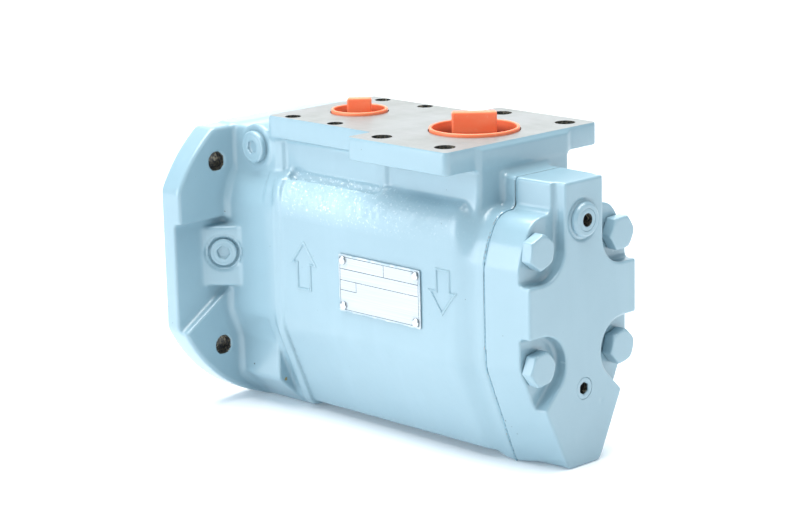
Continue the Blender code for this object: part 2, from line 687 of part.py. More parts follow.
# ---------------------------------------------------------------- drive end
def front_screw_places():
    places = []
    for i in range(4):
        angle = math.radians(45.0 + 90.0 * i)
        places.append((FRONT_SCREW_R * math.cos(angle), AXIS_Z + FRONT_SCREW_R * math.sin(angle)))
    return places


def make_front_cover():
    """Bearing and seal carrier, let into the pilot and screwed to the body."""
    profile = [(-75.7, COVER_BORE_R - GAP), (COVER_BORE_X - GAP, COVER_BORE_R - GAP),
               (COVER_BORE_X - GAP, SPIGOT_BORE_R - GAP), (-46.0, SPIGOT_BORE_R - GAP), (-46.0, 22.3),
               (-43.0, 22.3), (-43.0, SPIGOT_BORE_R - GAP), (-38.0, SPIGOT_BORE_R - GAP), (-38.0, 19.0),
               (-49.0, 19.0), (-49.0, 17.6), (-57.0, 17.6), (-57.0, 14.0), (-59.5, 14.0), (-59.5, 21.3),
               (-72.3, 21.3), (-72.3, 22.6), (-73.8, 22.6), (-73.8, 21.3), (-75.7, 21.3)]
    cover = turned("front_cover", profile, (0.0, 0.0, AXIS_Z), sides=WIDE_ROUND, ring=True)
    for i, (y, z) in enumerate(front_screw_places(), 1):
        cut(cover,
            cylinder("screw_hole", 2.8, (-78.0, y, z), 12.0, sides=12),
            cylinder("counterbore", 4.65, (-78.0, y, z), 8.2, sides=16))
        profile = [(0.0, 2.9), (0.4, 4.25), (4.9, 4.25), (4.9, 2.45), (19.0, 2.45)]
        bolt = turned(f"front_cover_screw_{i}", profile, (-75.0, y, z), sides=16)
        cut(bolt, hex_hole("socket", 4.0, (-75.0, y, z), 2.5, (-1, 0, 0)))
        finish(bolt, material(bolt.name, (0.08, 0.08, 0.09), 0.4, 1.0))
    finish(cover, material("front_cover", (0.32, 0.34, 0.36), 0.4, 0.6))
    o_ring = torus("front_cover_o_ring", 23.55, 0.95, (-44.5, 0.0, AXIS_Z), ROUND)
    finish(o_ring, material("front_cover_o_ring", RUBBER, 0.5, 0.0))


def make_bearing():
    """Deep-groove ball bearing 20 x 42 x 12."""
    x_from, x_to = BEARING_X
    mid = (x_from + x_to) / 2.0
    steel = material("bearing_steel", STEEL, 0.2, 1.0)
    groove = BALL_R + 0.25
    half = 2.4
    land = math.sqrt(groove ** 2 - half ** 2)
    race = [(-half, land), (-1.2, groove - 0.2), (0.0, groove), (1.2, groove - 0.2), (half, land)]
    inner = [(x_from, 10.3), (x_to, 10.3), (x_to, BALL_CIRCLE_R - land)]
    inner += [(mid + along, BALL_CIRCLE_R - rise) for along, rise in reversed(race)]
    inner.append((x_from, BALL_CIRCLE_R - land))
    outer = [(x_from, BALL_CIRCLE_R + land)]
    outer += [(mid + along, BALL_CIRCLE_R + rise) for along, rise in race]
    outer += [(x_to, BALL_CIRCLE_R + land), (x_to, 21.0), (x_from, 21.0)]
    for name, profile in (("bearing_inner_ring", inner), ("bearing_outer_ring", outer)):
        finish(turned(name, profile, (0.0, 0.0, AXIS_Z), sides=ROUND, ring=True), steel.copy())
    cage = turned("bearing_cage", [(mid - 3.9, 14.3), (mid + 3.9, 14.3), (mid + 3.9, 16.7),
                                   (mid - 3.9, 16.7)], (0.0, 0.0, AXIS_Z), sides=ROUND, ring=True)
    for i in range(BALL_COUNT):
        angle = 2.0 * math.pi * i / BALL_COUNT
        place = Vector((mid, BALL_CIRCLE_R * math.cos(angle), AXIS_Z + BALL_CIRCLE_R * math.sin(angle)))
        finish(ball(f"bearing_ball_{i + 1}", BALL_R, place), steel.copy())
        outward = (place - Vector((mid, 0.0, AXIS_Z))).normalized()
        cut(cage, cylinder("pocket", BALL_R + 0.3, place - outward * 4.0, 8.0, outward, 10))
    finish(cage, material("bearing_cage", BRONZE, 0.5, 1.0))


def ball(name, radius, place):
    mesh = bpy.data.meshes.new(name)
    bm = bmesh.new()
    bmesh.ops.create_icosphere(bm, subdivisions=2, radius=radius * MM, matrix=Matrix.Identity(4))
    bm.to_mesh(mesh)
    bm.free()
    obj = bpy.data.objects.new(name, mesh)
    obj.location = place * MM
    bpy.context.scene.collection.objects.link(obj)
    bpy.context.view_layer.update()
    return obj


def circlip(name, x, inner_r, outer_r, ear, inward):
    """Snap ring 1.2 mm thick, open at the bottom, with an ear at each end."""
    first, last, width = -75.0, 255.0, 11.0
    near, far = (inner_r, outer_r) if inward else (outer_r, inner_r)
    ear_r = inner_r - ear if inward else outer_r + ear
    outline = arc(far, first, last, 26)
    outline += arc(ear_r, last, last - width, 1)
    outline += arc(near, last - width - 1.0, first + width + 1.0, 24)
    outline += arc(ear_r, first + width, first, 1)
    ring = prism(name, [(y, z + AXIS_Z) for y, z in outline], x, x + 1.2)
    finish(ring, material(name, (0.12, 0.12, 0.13), 0.35, 1.0))


def make_seal():
    """Mechanical shaft seal: fixed seat, turning face, spring and drive collar."""
    centre = (0.0, 0.0, AXIS_Z)
    rings = [("seal_seat", (-56.6, -50.0), (11.4, 17.2), (0.12, 0.12, 0.13), 0.0),
             ("seal_face_ring", (-49.6, -45.2), (10.4, 14.6), (0.20, 0.20, 0.22), 0.0),
             ("seal_collar", (-39.6, -37.3), (10.4, 15.4), STEEL, 1.0)]
    for name, (x_from, x_to), (inner, outer), colour, metallic in rings:
        profile = [(x_from, inner), (x_to, inner), (x_to, outer), (x_from, outer)]
        ring = turned(name, profile, centre, sides=ROUND, ring=True)
        finish(ring, material(name, colour, 0.3, metallic))
    spring = coil("seal_spring", 12.6, 0.8, 4.9, 2.2, (-44.8, 0.0, AXIS_Z), 16, 6)
    finish(spring, material("seal_spring", STEEL, 0.3, 1.0))
    bush = turned("balance_bush", [(-36.0, 12.3), (-27.0, 12.3), (-27.0, 16.0), (-36.0, 16.0)], centre,
                  ring=True)
    finish(bush, material("balance_bush", BRONZE, 0.4, 1.0))


# ---------------------------------------------------------------- relief valve
def make_relief_valve():
    centre = (VALVE_SEAT_X + GAP, 0.0, VALVE_Z)
    piston = turned("relief_valve_piston", [(0.0, 3.4), (1.6, 6.6), (12.0, 6.6)], centre, sides=FINE_ROUND)
    cut(piston, cylinder("spring_pocket", 5.7, (centre[0] + 4.0, 0.0, VALVE_Z), 20.0, sides=FINE_ROUND))
    finish(piston, material("relief_valve_piston", STEEL, 0.25, 1.0))

    seat_x = 96.0
    start = centre[0] + 4.0 + GAP
    spring = coil("relief_valve_spring", SPRING_COIL_R, SPRING_WIRE_R, seat_x - GAP - start, 8.0,
                  (start, 0.0, VALVE_Z), 10, 5)
    finish(spring, material("relief_valve_spring", (0.25, 0.26, 0.28), 0.35, 1.0))

    profile = [(0.0, 3.4), (3.6, 3.4), (3.6, 6.6), (0.0, 6.6)]
    seat = turned("relief_valve_spring_seat", profile, (seat_x, 0.0, VALVE_Z), sides=FINE_ROUND, ring=True)
    finish(seat, material("relief_valve_spring_seat", STEEL, 0.35, 1.0))

    profile = [(90.0, 2.6), (90.4, 3.0), (101.4, 3.0), (101.4, 5.6), (103.0, 5.6), (103.0, 4.5),
               (106.0, 4.5), (106.0, 3.6), (108.0, 3.6), (108.0, 4.5), (114.6, 4.5), (115.0, 4.2)]
    spindle = turned("relief_valve_spindle", profile, (0.0, 0.0, VALVE_Z), sides=FINE_ROUND)
    cut(spindle, hex_hole("socket", 5.0, (115.0, 0.0, VALVE_Z), 4.0))
    finish(spindle, material("relief_valve_spindle", PAINT, 0.4, 0.2))

    ring = torus("spindle_o_ring", 4.3, 0.55, (107.0, 0.0, VALVE_Z), FINE_ROUND)
    finish(ring, material("spindle_o_ring", RUBBER, 0.5, 0.0))

    profile = [(103.4, 5.0), (115.5, 5.0), (115.5, 6.4), (114.7, 7.2), (113.3, 7.2), (113.3, 6.0),
               (103.4, 6.0)]
    gland = turned("relief_valve_gland", profile, (0.0, 0.0, VALVE_Z), sides=ROUND, ring=True)
    finish(gland, material("relief_valve_gland", PAINT, 0.4, 0.1))


def main():
    clear_scene()
    make_body()
    make_rear_cover()
    make_rear_gasket()
    make_cover_bolts()
    make_plugs()
    make_nameplate()
    port_plug("inlet_plug", INLET_X, INLET_R, 18.4, 7.6)
    port_plug("outlet_plug", OUTLET_X, OUTLET_R, 10.4, 6.0)
    make_power_rotor()
    make_idlers()
    make_front_cover()
    make_bearing()
    circlip("bearing_circlip", -73.6, 19.4, 22.2, 2.6, True)
    circlip("shaft_circlip", -73.6, 9.5, 11.6, 1.8, False)
    make_seal()
    make_relief_valve()


main()
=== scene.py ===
import math

import bmesh
import bpy
import numpy as np
from mathutils import Matrix, Vector


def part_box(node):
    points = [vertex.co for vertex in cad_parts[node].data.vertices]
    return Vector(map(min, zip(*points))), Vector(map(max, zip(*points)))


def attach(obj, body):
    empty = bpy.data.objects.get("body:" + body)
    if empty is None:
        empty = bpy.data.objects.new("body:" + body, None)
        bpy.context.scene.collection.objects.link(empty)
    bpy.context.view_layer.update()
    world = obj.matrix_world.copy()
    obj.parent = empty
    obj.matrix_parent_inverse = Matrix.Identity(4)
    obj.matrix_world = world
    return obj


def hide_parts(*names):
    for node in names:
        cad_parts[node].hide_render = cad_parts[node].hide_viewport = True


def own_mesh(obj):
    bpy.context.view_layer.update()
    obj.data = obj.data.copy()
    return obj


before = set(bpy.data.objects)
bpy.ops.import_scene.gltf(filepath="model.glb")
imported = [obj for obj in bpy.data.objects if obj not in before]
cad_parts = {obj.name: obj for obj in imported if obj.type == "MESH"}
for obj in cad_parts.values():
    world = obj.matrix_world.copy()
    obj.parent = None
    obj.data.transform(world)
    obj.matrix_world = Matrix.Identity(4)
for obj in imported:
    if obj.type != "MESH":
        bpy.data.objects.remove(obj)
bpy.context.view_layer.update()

# ------------------------------------------------------------------ sizes, in millimetres
AXIS = 68.0                      # height of the shaft line
FLANGE_X = (-73.0, -61.0)
POCKET_X = -65.0
FLANGE_R, FLANGE_SIDE, FLANGE_TOP = 69.4, 62.5, 123.3
PILOT_R, PILOT_X = 47.5, -77.0
HOLE_AT, HOLE_R = 40.66, 4.1     # flange holes, across and up from the axis
PLATE_TOP, PLATE_LOW = 130.0, 120.5
INLET_X, INLET_R = 54.0, 19.0
OUTLET_X, OUTLET_R = -14.0, 12.5
PORT_HOLES = [(INLET_X, (35.7, 69.9), 4.25, 110.0), (OUTLET_X, (26.2, 52.4), 3.4, 121.0)]
JOINT_X = 88.85
COVER_X, BOSS_TOP = (89.45, 113.0), 117.0
BOLT_AT = 23.5                   # cover bolts, across and up from the axis
BOLT_POCKET_R, BOLT_POCKET_X = 13.0, 107.5
VALVE_Z, VALVE_R = 101.0, 6.3
DRAIN_Z, DRAIN_R = 32.0, 4.56
IDLER_AT = 18.0                  # idler screws, to each side of the axis
PANEL_Y = -35.0
GAUGE = (-58.75, -40.75, 69.0)
VENT = (-46.6, -29.5, 115.5)
CORNERS = [(a, b) for a in (-1, 1) for b in (-1, 1)]

NECK = [(29.5, 123.0), (29.5, 105.0), (33.2, 99.5), (35.5, 92.0), (35.5, 43.0), (27.5, 24.0), (16.0, 0.0)]
FOOT = [(30.4, 36.0), (30.4, 13.5), (16.0, 1.0)]
BODY = [(27.0, 107.5), (31.5, 104.8), (34.0, 100.0), (35.0, 94.0), (35.0, 42.0), (18.8, 3.0)]
JOINT = [(19.2, 104.3), (23.2, 102.9), (26.1, 99.8), (29.6, 93.2), (32.2, 85.0), (32.2, 52.3),
         (31.6, 42.0), (15.1, 0.0)]
END = [(18.2, 104.3), (22.2, 102.9), (25.1, 99.8), (28.6, 93.2), (31.4, 85.0), (31.4, 52.3),
       (31.4, 45.0), (9.2, 0.0)]


# ------------------------------------------------------------------ distance fields
class Grid:
    """Sample points of a box, at one spacing, as broadcastable coordinates in millimetres."""

    def __init__(self, low, high, step):
        self.low, self.step = np.array(low, float), step
        axes = [np.arange(a, b + step, step) for a, b in zip(low, high)]
        self.shape = tuple(len(a) for a in axes)
        self.x = axes[0][:, None, None].astype(np.float32)
        self.y = axes[1][None, :, None].astype(np.float32)
        self.z = axes[2][None, None, :].astype(np.float32)


def rmin(a, b, r):
    """Union with a round fillet of radius r."""
    return np.maximum(r, np.minimum(a, b)) - np.hypot(np.maximum(r - a, 0), np.maximum(r - b, 0))


def rmax(a, b, r):
    """Intersection with a round edge of radius r."""
    return np.minimum(-r, np.maximum(a, b)) + np.hypot(np.maximum(r + a, 0), np.maximum(r + b, 0))


def carve(a, b, r=0.0):
    return rmax(a, -b, r) if r else np.maximum(a, -b)


def slab(t, low, high):
    return np.abs(t - (low + high) / 2) - (high - low) / 2


def bore(g, axis, at, radius, span=None):
    """A cylinder along one axis; at is its centre in the other two coordinates."""
    along = {"x": (g.x, g.y, g.z), "y": (g.y, g.x, g.z), "z": (g.z, g.x, g.y)}[axis]
    d = np.hypot(along[1] - at[0], along[2] - at[1]) - radius
    return d if span is None else np.maximum(d, slab(along[0], *span))


def outline(g, half, soft):
    """Distance to a section given as its half from the top down, its corners rounded."""
    path = soften([(0.0, half[0][1])] + half + [(0.0, half[-1][1])], soft)
    y, z = np.broadcast_arrays(np.abs(g.y[0]), g.z[0])
    nearest = np.full(y.shape, 1e6, np.float32)
    inside = np.zeros(y.shape, bool)
    for (ay, az), (by, bz) in zip(path, path[1:]):
        dy, dz = by - ay, bz - az
        length = max(dy * dy + dz * dz, 1e-9)
        t = np.clip(((y - ay) * dy + (z - az) * dz) / length, 0, 1)
        nearest = np.minimum(nearest, (y - ay - t * dy) ** 2 + (z - az - t * dz) ** 2)
        if abs(dz) > 1e-9:
            inside ^= ((az > z) != (bz > z)) & (y < ay + (z - az) * dy / dz)
    return np.where(inside, -1, 1)[None] * np.sqrt(nearest)[None]


def surface(field, grid):
    """Closed surface where the field is zero: one point per cell, one face per crossed edge."""
    shape = np.array(field.shape)
    stride = np.array([shape[1] * shape[2], shape[2], 1])
    cells, points, quads = [], [], []
    for axis in range(3):
        ahead = [slice(None)] * 3
        behind = [slice(None)] * 3
        ahead[axis], behind[axis] = slice(1, None), slice(None, -1)
        a, b = field[tuple(behind)], field[tuple(ahead)]
        at = np.argwhere((a < 0) != (b < 0))
        va, vb = a[tuple(at.T)], b[tuple(at.T)]
        place = at.astype(np.float64)
        place[:, axis] += va / (va - vb)
        first, second = [(1, 2), (2, 0), (0, 1)][axis]
        base = at @ stride
        ring = np.stack([base, base - stride[first], base - stride[first] - stride[second],
                         base - stride[second]], axis=1)
        ring = np.where((va < 0)[:, None], ring, ring[:, ::-1])
        cells.append(ring.ravel())
        points.append(np.repeat(place, 4, axis=0))
        quads.append(ring)
    cells, points = np.concatenate(cells), np.concatenate(points)
    keys, inverse = np.unique(cells, return_inverse=True)
    inverse = inverse.reshape(-1)
    count = np.bincount(inverse)
    verts = np.stack([np.bincount(inverse, points[:, k]) / count for k in range(3)], axis=1)
    faces = np.searchsorted(keys, np.concatenate(quads))
    return verts * grid.step + grid.low, faces


def snap_circle(verts, axis, at, radius, level, reach):
    """Pulls the points next to a circular edge onto it, so that a machined rim is crisp."""
    others = [k for k in range(3) if k != axis]
    offset = verts[:, others] - np.array(at)
    distance = np.hypot(*offset.T)
    near = (np.abs(distance - radius) < reach) & (np.abs(verts[:, axis] - level) < reach)
    verts[np.ix_(near, others)] = np.array(at) + offset[near] / distance[near, None] * radius
    verts[near, axis] = level


def snap_plane(verts, axis, level, reach):
    near = np.abs(verts[:, axis] - level) < reach
    verts[near, axis] = level


def mesh_object(name, verts, faces, sharp=38.0):
    """Points in millimetres and faces to an object of the row frame."""
    mesh = bpy.data.meshes.new(name)
    mesh.vertices.add(len(verts))
    mesh.vertices.foreach_set("co", (np.asarray(verts, np.float64) * 0.001).ravel())
    sizes = np.full(len(faces), faces.shape[1])
    mesh.loops.add(faces.size)
    mesh.loops.foreach_set("vertex_index", faces.ravel())
    mesh.polygons.add(len(faces))
    mesh.polygons.foreach_set("loop_start", np.concatenate([[0], np.cumsum(sizes)[:-1]]))
    mesh.polygons.foreach_set("loop_total", sizes)
    mesh.update(calc_edges=True)
    mesh.validate()
    mesh.shade_smooth()
    mesh.set_sharp_from_angle(angle=math.radians(sharp))
    obj = bpy.data.objects.new(name, mesh)
    bpy.context.scene.collection.objects.link(obj)
    return obj


def lattice_noise(grid, spacing, seed):
    """Smooth random values on the grid, from a coarse seeded lattice."""
    counts = [int(n * grid.step / spacing) + 3 for n in grid.shape]
    values = np.random.default_rng(seed).uniform(-1.0, 1.0, counts).astype(np.float32)
    for axis, size in enumerate(grid.shape):
        at = np.arange(size) * grid.step / spacing
        low = at.astype(int)
        t = (at - low).astype(np.float32)
        t = t * t * (3 - 2 * t)
        t = t.reshape([-1 if k == axis else 1 for k in range(3)])
        values = np.take(values, low, axis) * (1 - t) + np.take(values, low + 1, axis) * t
    return values


# ------------------------------------------------------------------ castings
def box2(a, b, r):
    """Two flat-sided fields joined at a round outside corner."""
    return np.hypot(np.maximum(a + r, 0), np.maximum(b + r, 0)) + np.minimum(np.maximum(a, b) + r, 0) - r


def blend(a, b, t):
    return a * (1 - t) + b * t


def smoothstep(x, low, high):
    t = np.clip((x - low) / (high - low), 0, 1)
    return t * t * (3 - 2 * t)


def flange_field(g, y):
    plate = rmax(np.hypot(g.y, g.z - AXIS) - FLANGE_R, y - FLANGE_SIDE, 0.9)
    plate = rmax(plate, g.z - FLANGE_TOP, 0.9)
    plate = rmax(plate, -g.z, 1.5)
    plate = rmax(plate, slab(g.x, *FLANGE_X), 1.5)
    rib = (62.8 - y) * 0.545 + (34.8 - g.z) * 0.838
    pocket = rmax(rmax(rib, g.z - 84.0, 1.6), POCKET_X - g.x, 2.0)
    pocket = rmax(pocket, 26.0 - y, 2.0)
    plate = carve(plate, pocket, 1.0)
    pilot = np.maximum(np.hypot(g.y, g.z - AXIS) - PILOT_R, slab(g.x, PILOT_X, FLANGE_X[0] + 2))
    return np.minimum(plate, pilot)


def neck_field(g):
    upper = rmax(outline(g, NECK, 2.5), slab(g.x, -70.0, -31.0), 1.2)
    foot = rmax(outline(g, FOOT, 2.0), slab(g.x, -70.0, -36.5), 0.8)
    return rmin(upper, foot, 1.2)


def trunk_field(g):
    body = outline(g, BODY, 3.0)
    trunk = blend(body, outline(g, JOINT, 2.5), smoothstep(g.x, 74.0, 86.0))
    trunk = rmax(trunk, slab(g.x, -38.0, JOINT_X), 0.5)
    proud = blend(1.5, 0.35, smoothstep(g.z, 34.0, 50.0)) + 0.8 * smoothstep(g.z, 92.0, 98.0)
    ridge = rmax(body - proud, slab(g.x, -32.0, -27.0), 0.7)
    ridge = rmax(ridge, g.z - 104.5, 0.7)
    return rmin(trunk, ridge, 0.6)


def port_neck(g, y, x, half, low, r):
    side = box2(slab(g.x, *x), y - half, r)
    return np.maximum(side, slab(g.z, low, PLATE_TOP - 2.0))


def plate_field(g, y):
    narrow = box2(slab(g.x, -38.0, 30.0), y - 30.8, 1.6)
    narrow = rmax(narrow, slab(g.z, PLATE_LOW, PLATE_TOP), 0.6)
    wide = box2(slab(g.x, 25.0, 81.3), y - 44.4, 2.6)
    wide = rmax(wide, slab(g.z, PLATE_LOW, PLATE_TOP), 0.6)
    return rmin(narrow, wide, 0.8)


def gauge_boss(g):
    block = np.maximum((g.x - g.y + 18.0) / math.sqrt(2.0), g.x + 51.5)
    block = rmax(block, -66.0 - g.x, 1.0)
    block = rmax(block, g.y + 20.0, 1.0)
    return rmax(block, slab(g.z, 54.0, 80.5), 1.3)


def vent_boss(g):
    pad = np.maximum(np.hypot(g.x - VENT[0], g.z - VENT[2]) - 9.8, g.y + 10.0)
    column = box2(slab(g.x, -62.0, -39.0), slab(g.z, 100.0, 123.0), 1.5)
    shape = np.minimum(pad, np.maximum(column, g.y + 10.0))
    shape = rmax(shape, VENT[1] - g.y, 0.8)
    ring = np.abs(np.hypot(g.x - VENT[0], g.z - VENT[2]) - 8.6) - 1.0
    return rmin(shape, rmax(ring, slab(g.y, VENT[1] - 0.8, -20.0), 0.5), 0.5)


def rear_boss(g, y):
    boss = box2(y - 13.4, g.z - BOSS_TOP, 1.4)
    return np.maximum(np.maximum(boss, slab(g.x, 76.0, JOINT_X)), 60.0 - g.z)


def neck_groove(g, y):
    """Undercut along the foot of the outlet neck, wider at its front end."""
    along = np.maximum(slab(g.x, -24.0, 26.0), 0)
    radius = 2.0 + 0.9 * (1 - smoothstep(g.x, -27.0, -15.0))
    return np.sqrt((y - 29.2) ** 2 + (g.z - 106.0) ** 2 + along ** 2) - radius


def casting_field(g):
    y = np.abs(g.y)
    field = rmin(neck_field(g), trunk_field(g), 0.8)
    field = rmin(field, port_neck(g, y, (-38.0, 31.0), 28.0, 90.0, 2.0), 1.6)
    flare = 3.4 * np.exp(-np.maximum(g.z - 104.0, 0) / 3.2)
    field = rmin(field, port_neck(g, y, (25.0, 82.0), 26.6 + 0.35 * flare, 90.0, 2.4), 1.4)
    front = port_neck(g, y, (-70.0, -34.0), 29.5, 90.0, 1.5)
    field = rmin(field, front, 2.0)
    field = np.maximum(field, np.where(g.x < -38.0, g.z - 123.0, -1e3))
    field = rmin(field, rear_boss(g, y), 2.6)
    field = rmin(field, plate_field(g, y), 2.0)
    field = rmin(field, flange_field(g, y), 3.0)
    field = rmin(field, gauge_boss(g), 1.4)
    field = rmin(field, vent_boss(g), 1.2)
    field = carve(field, neck_groove(g, y), 0.8)
    field = np.maximum(field, g.x - JOINT_X)
    lumps = lattice_noise(g, 2.2, 7) + 0.7 * lattice_noise(g, 1.3, 8)
    band = smoothstep(g.z, 88.0, 97.0) * (1 - smoothstep(g.z, 106.0, 108.0))
    rough = band * (1 - 0.8 * smoothstep(g.x, 12.0, 50.0)) * smoothstep(g.x, -30.0, -25.0)
    field = field - 0.17 * rough * lumps
    swell = lattice_noise(g, 12.0, 3)
    return field - 0.09 * swell * smoothstep(slab(g.z, 4.0, 119.0), 0.0, -6.0)


def cut_openings(g, field):
    y = np.abs(g.y)
    field = carve(field, bore(g, "z", (INLET_X, 0.0), INLET_R, (106.0, 140.0)))
    field = carve(field, bore(g, "z", (OUTLET_X, 0.0), OUTLET_R, (80.0, 140.0)))
    for at, pitch, radius, low in PORT_HOLES:
        hole = np.hypot(np.abs(g.x - at) - pitch[0] / 2, y - pitch[1] / 2) - radius
        field = np.maximum(field, -np.maximum(hole, low - g.z))
    d = np.hypot(g.y, g.z - AXIS)
    idler = np.hypot(y - IDLER_AT, g.z - AXIS)
    field = carve(field, np.maximum(d - 15.35, -1.0 - g.x))
    field = carve(field, np.maximum(idler - 9.35, -1.0 - g.x))
    field = carve(field, np.maximum(idler - 10.5, 66.0 - g.x))
    field = carve(field, np.maximum(d - 25.0, slab(g.x, -26.0, 0.0)))
    field = carve(field, np.maximum(d - 17.0, 66.0 - g.x))
    field = carve(field, np.maximum(np.maximum(y - 12.0, slab(g.z, 76.0, 112.0)), 66.0 - g.x))
    valve = np.hypot(g.y, g.z - VALVE_Z)
    field = carve(field, np.maximum(valve - 7.0, 50.0 - g.x))
    field = carve(field, np.maximum(valve - 4.0, -4.5 - g.x))
    for end, radius in ((-67.0, 36.0), (-37.7, 25.0), (-25.0, 16.3)):
        field = carve(field, np.maximum(d - radius, g.x - end))
    flange_hole = np.hypot(y - HOLE_AT, np.abs(g.z - AXIS) - HOLE_AT) - HOLE_R
    field = carve(field, np.maximum(flange_hole, g.x + 55.0), 0.5)
    cover_hole = np.hypot(y - BOLT_AT, np.abs(g.z - AXIS) - BOLT_AT) - 4.3
    field = carve(field, np.maximum(cover_hole, 69.0 - g.x))
    field = carve(field, bore(g, "y", (VENT[0], VENT[2]), 4.9, (-40.0, -14.0)))
    return cut_gauge_hole(g, field)


def cut_gauge_hole(g, field):
    depth = (-(g.y - GAUGE[1]) + (g.x - GAUGE[0])) / math.sqrt(2.0)
    side = ((g.y - GAUGE[1]) + (g.x - GAUGE[0])) / math.sqrt(2.0)
    radius = np.hypot(side, g.z - GAUGE[2])
    groove = np.hypot(radius - 7.7, depth + 0.1) - 0.52
    field = carve(field, groove, 0.3)
    field = carve(field, np.maximum(radius - 6.7, -1.5 - depth), 0.9)
    return carve(field, np.maximum(radius - 4.9, -9.0 - depth))


ARROWS = (
    [(-13.1, 78.9), (-6.4, 70.0), (-9.4, 70.0), (-9.4, 59.0), (-17.2, 59.0), (-17.2, 70.0),
     (-20.4, 70.0)],
    [(65.7, 80.0), (72.9, 80.0), (72.9, 70.8), (75.6, 70.8), (68.6, 62.0), (62.0, 70.8),
     (65.7, 70.8)],
)


def bead(path, half, height, level):
    """Raised cast line along a closed path in the side's plane, with mitred corners."""
    points = np.array(path)
    forward = np.roll(points, -1, 0) - points
    forward /= np.linalg.norm(forward, axis=1)[:, None]
    back = np.roll(forward, 1, 0)
    normal = np.stack([-forward[:, 1], forward[:, 0]], axis=1)
    mitre = normal + np.stack([-back[:, 1], back[:, 0]], axis=1)
    mitre /= np.maximum(np.sum(mitre * normal, axis=1), 0.35)[:, None]
    verts, section = [], [(-1.0, -0.5), (-0.7, 0.55), (0.0, 1.0), (0.7, 0.55), (1.0, -0.5)]
    for side, rise in section:
        place = points + mitre * half * side
        depth = np.full(len(points), level - rise * height)
        verts.append(np.stack([place[:, 0], depth, place[:, 1]], axis=1))
    count, rows = len(points), len(section)
    i = np.arange(count)
    j = (i + 1) % count
    faces = [np.stack([k * count + i, k * count + j, (k + 1) % rows * count + j,
                       (k + 1) % rows * count + i], axis=1) for k in range(rows)]
    return np.concatenate(verts), np.concatenate(faces)


def with_arrows(verts, faces):
    """The two flow arrows cast on the nameplate side."""
    for path in ARROWS:
        more, quads = bead(path, 0.62, 0.55, PANEL_Y)
        faces = np.concatenate([faces, quads + len(verts)])
        verts = np.concatenate([verts, more])
    return verts, faces


def pump_casting():
    g = Grid((-79.0, -64.5, -2.0), (90.0, 64.5, 132.0), 0.72)
    verts, faces = surface(cut_openings(g, casting_field(g)), g)
    y, z = verts[:, 1], verts[:, 2]
    for level, axis in ((PLATE_TOP, 2), (JOINT_X, 0), (PILOT_X, 0)):
        snap_plane(verts, axis, level, 0.3)
    for x, r in ((INLET_X, INLET_R), (OUTLET_X, OUTLET_R)):
        snap_circle(verts, 2, (x, 0.0), r, PLATE_TOP, 0.8)
    for x, holes, hole_r, _ in PORT_HOLES:
        for sx, sy in CORNERS:
            at = (x + 0.5 * sx * holes[0], 0.5 * sy * holes[1])
            snap_circle(verts, 2, at, hole_r, PLATE_TOP, 0.8)
    for sy, sz in CORNERS:
        snap_circle(verts, 0, (sy * HOLE_AT, AXIS + sz * HOLE_AT), HOLE_R, FLANGE_X[0], 0.8)
    snap_circle(verts, 0, (0.0, AXIS), 36.0, PILOT_X, 0.8)
    snap_circle(verts, 0, (0.0, AXIS), PILOT_R, PILOT_X, 0.8)
    verts[:, 1] = np.clip(y, -FLANGE_SIDE, FLANGE_SIDE)
    verts[:, 2] = np.clip(z, 0.0, PLATE_TOP)
    return mesh_object("body_casting", *with_arrows(verts, faces))


def bolt_pockets(g, y):
    """Spot faces round the cover bolts: open upwards at the top, narrower on the far side, slanting
    outwards below."""
    aside = np.maximum(BOLT_AT - y, 0)
    radius = np.where(g.y > 0, 11.8, BOLT_POCKET_R)
    top = np.hypot(aside, np.maximum(AXIS + BOLT_AT - g.z, 0)) - radius
    across, up = y - BOLT_AT, g.z - (AXIS - BOLT_AT)
    slant = np.where(across > up, np.abs(across + up) / math.sqrt(2.0), np.hypot(across, up))
    slant = np.where((up <= 0) & (across + up >= 0), 0.0, slant)
    bottom = np.where(up > 0, np.hypot(aside, up), slant) - BOLT_POCKET_R
    return np.minimum(top, bottom)


def cover_field(g):
    y = np.abs(g.y)
    t = (g.x - COVER_X[0]) / (COVER_X[1] - COVER_X[0])
    body = blend(outline(g, JOINT, 2.2), outline(g, END, 2.2), t)
    boss = np.maximum(box2(y - blend(13.4, 12.6, t), g.z - BOSS_TOP, 1.2), 60.0 - g.z)
    field = rmin(body, boss, 3.0)
    field = rmax(field, slab(g.x, *COVER_X), 0.7)
    pockets = rmax(bolt_pockets(g, y), BOLT_POCKET_X - g.x, 1.8)
    lumps = lattice_noise(g, 2.4, 21)
    floor = smoothstep(-pockets, -1.5, 1.0) * (g.x < BOLT_POCKET_X + 2.5)
    return carve(field, pockets, 0.75) - 0.10 * lumps * floor


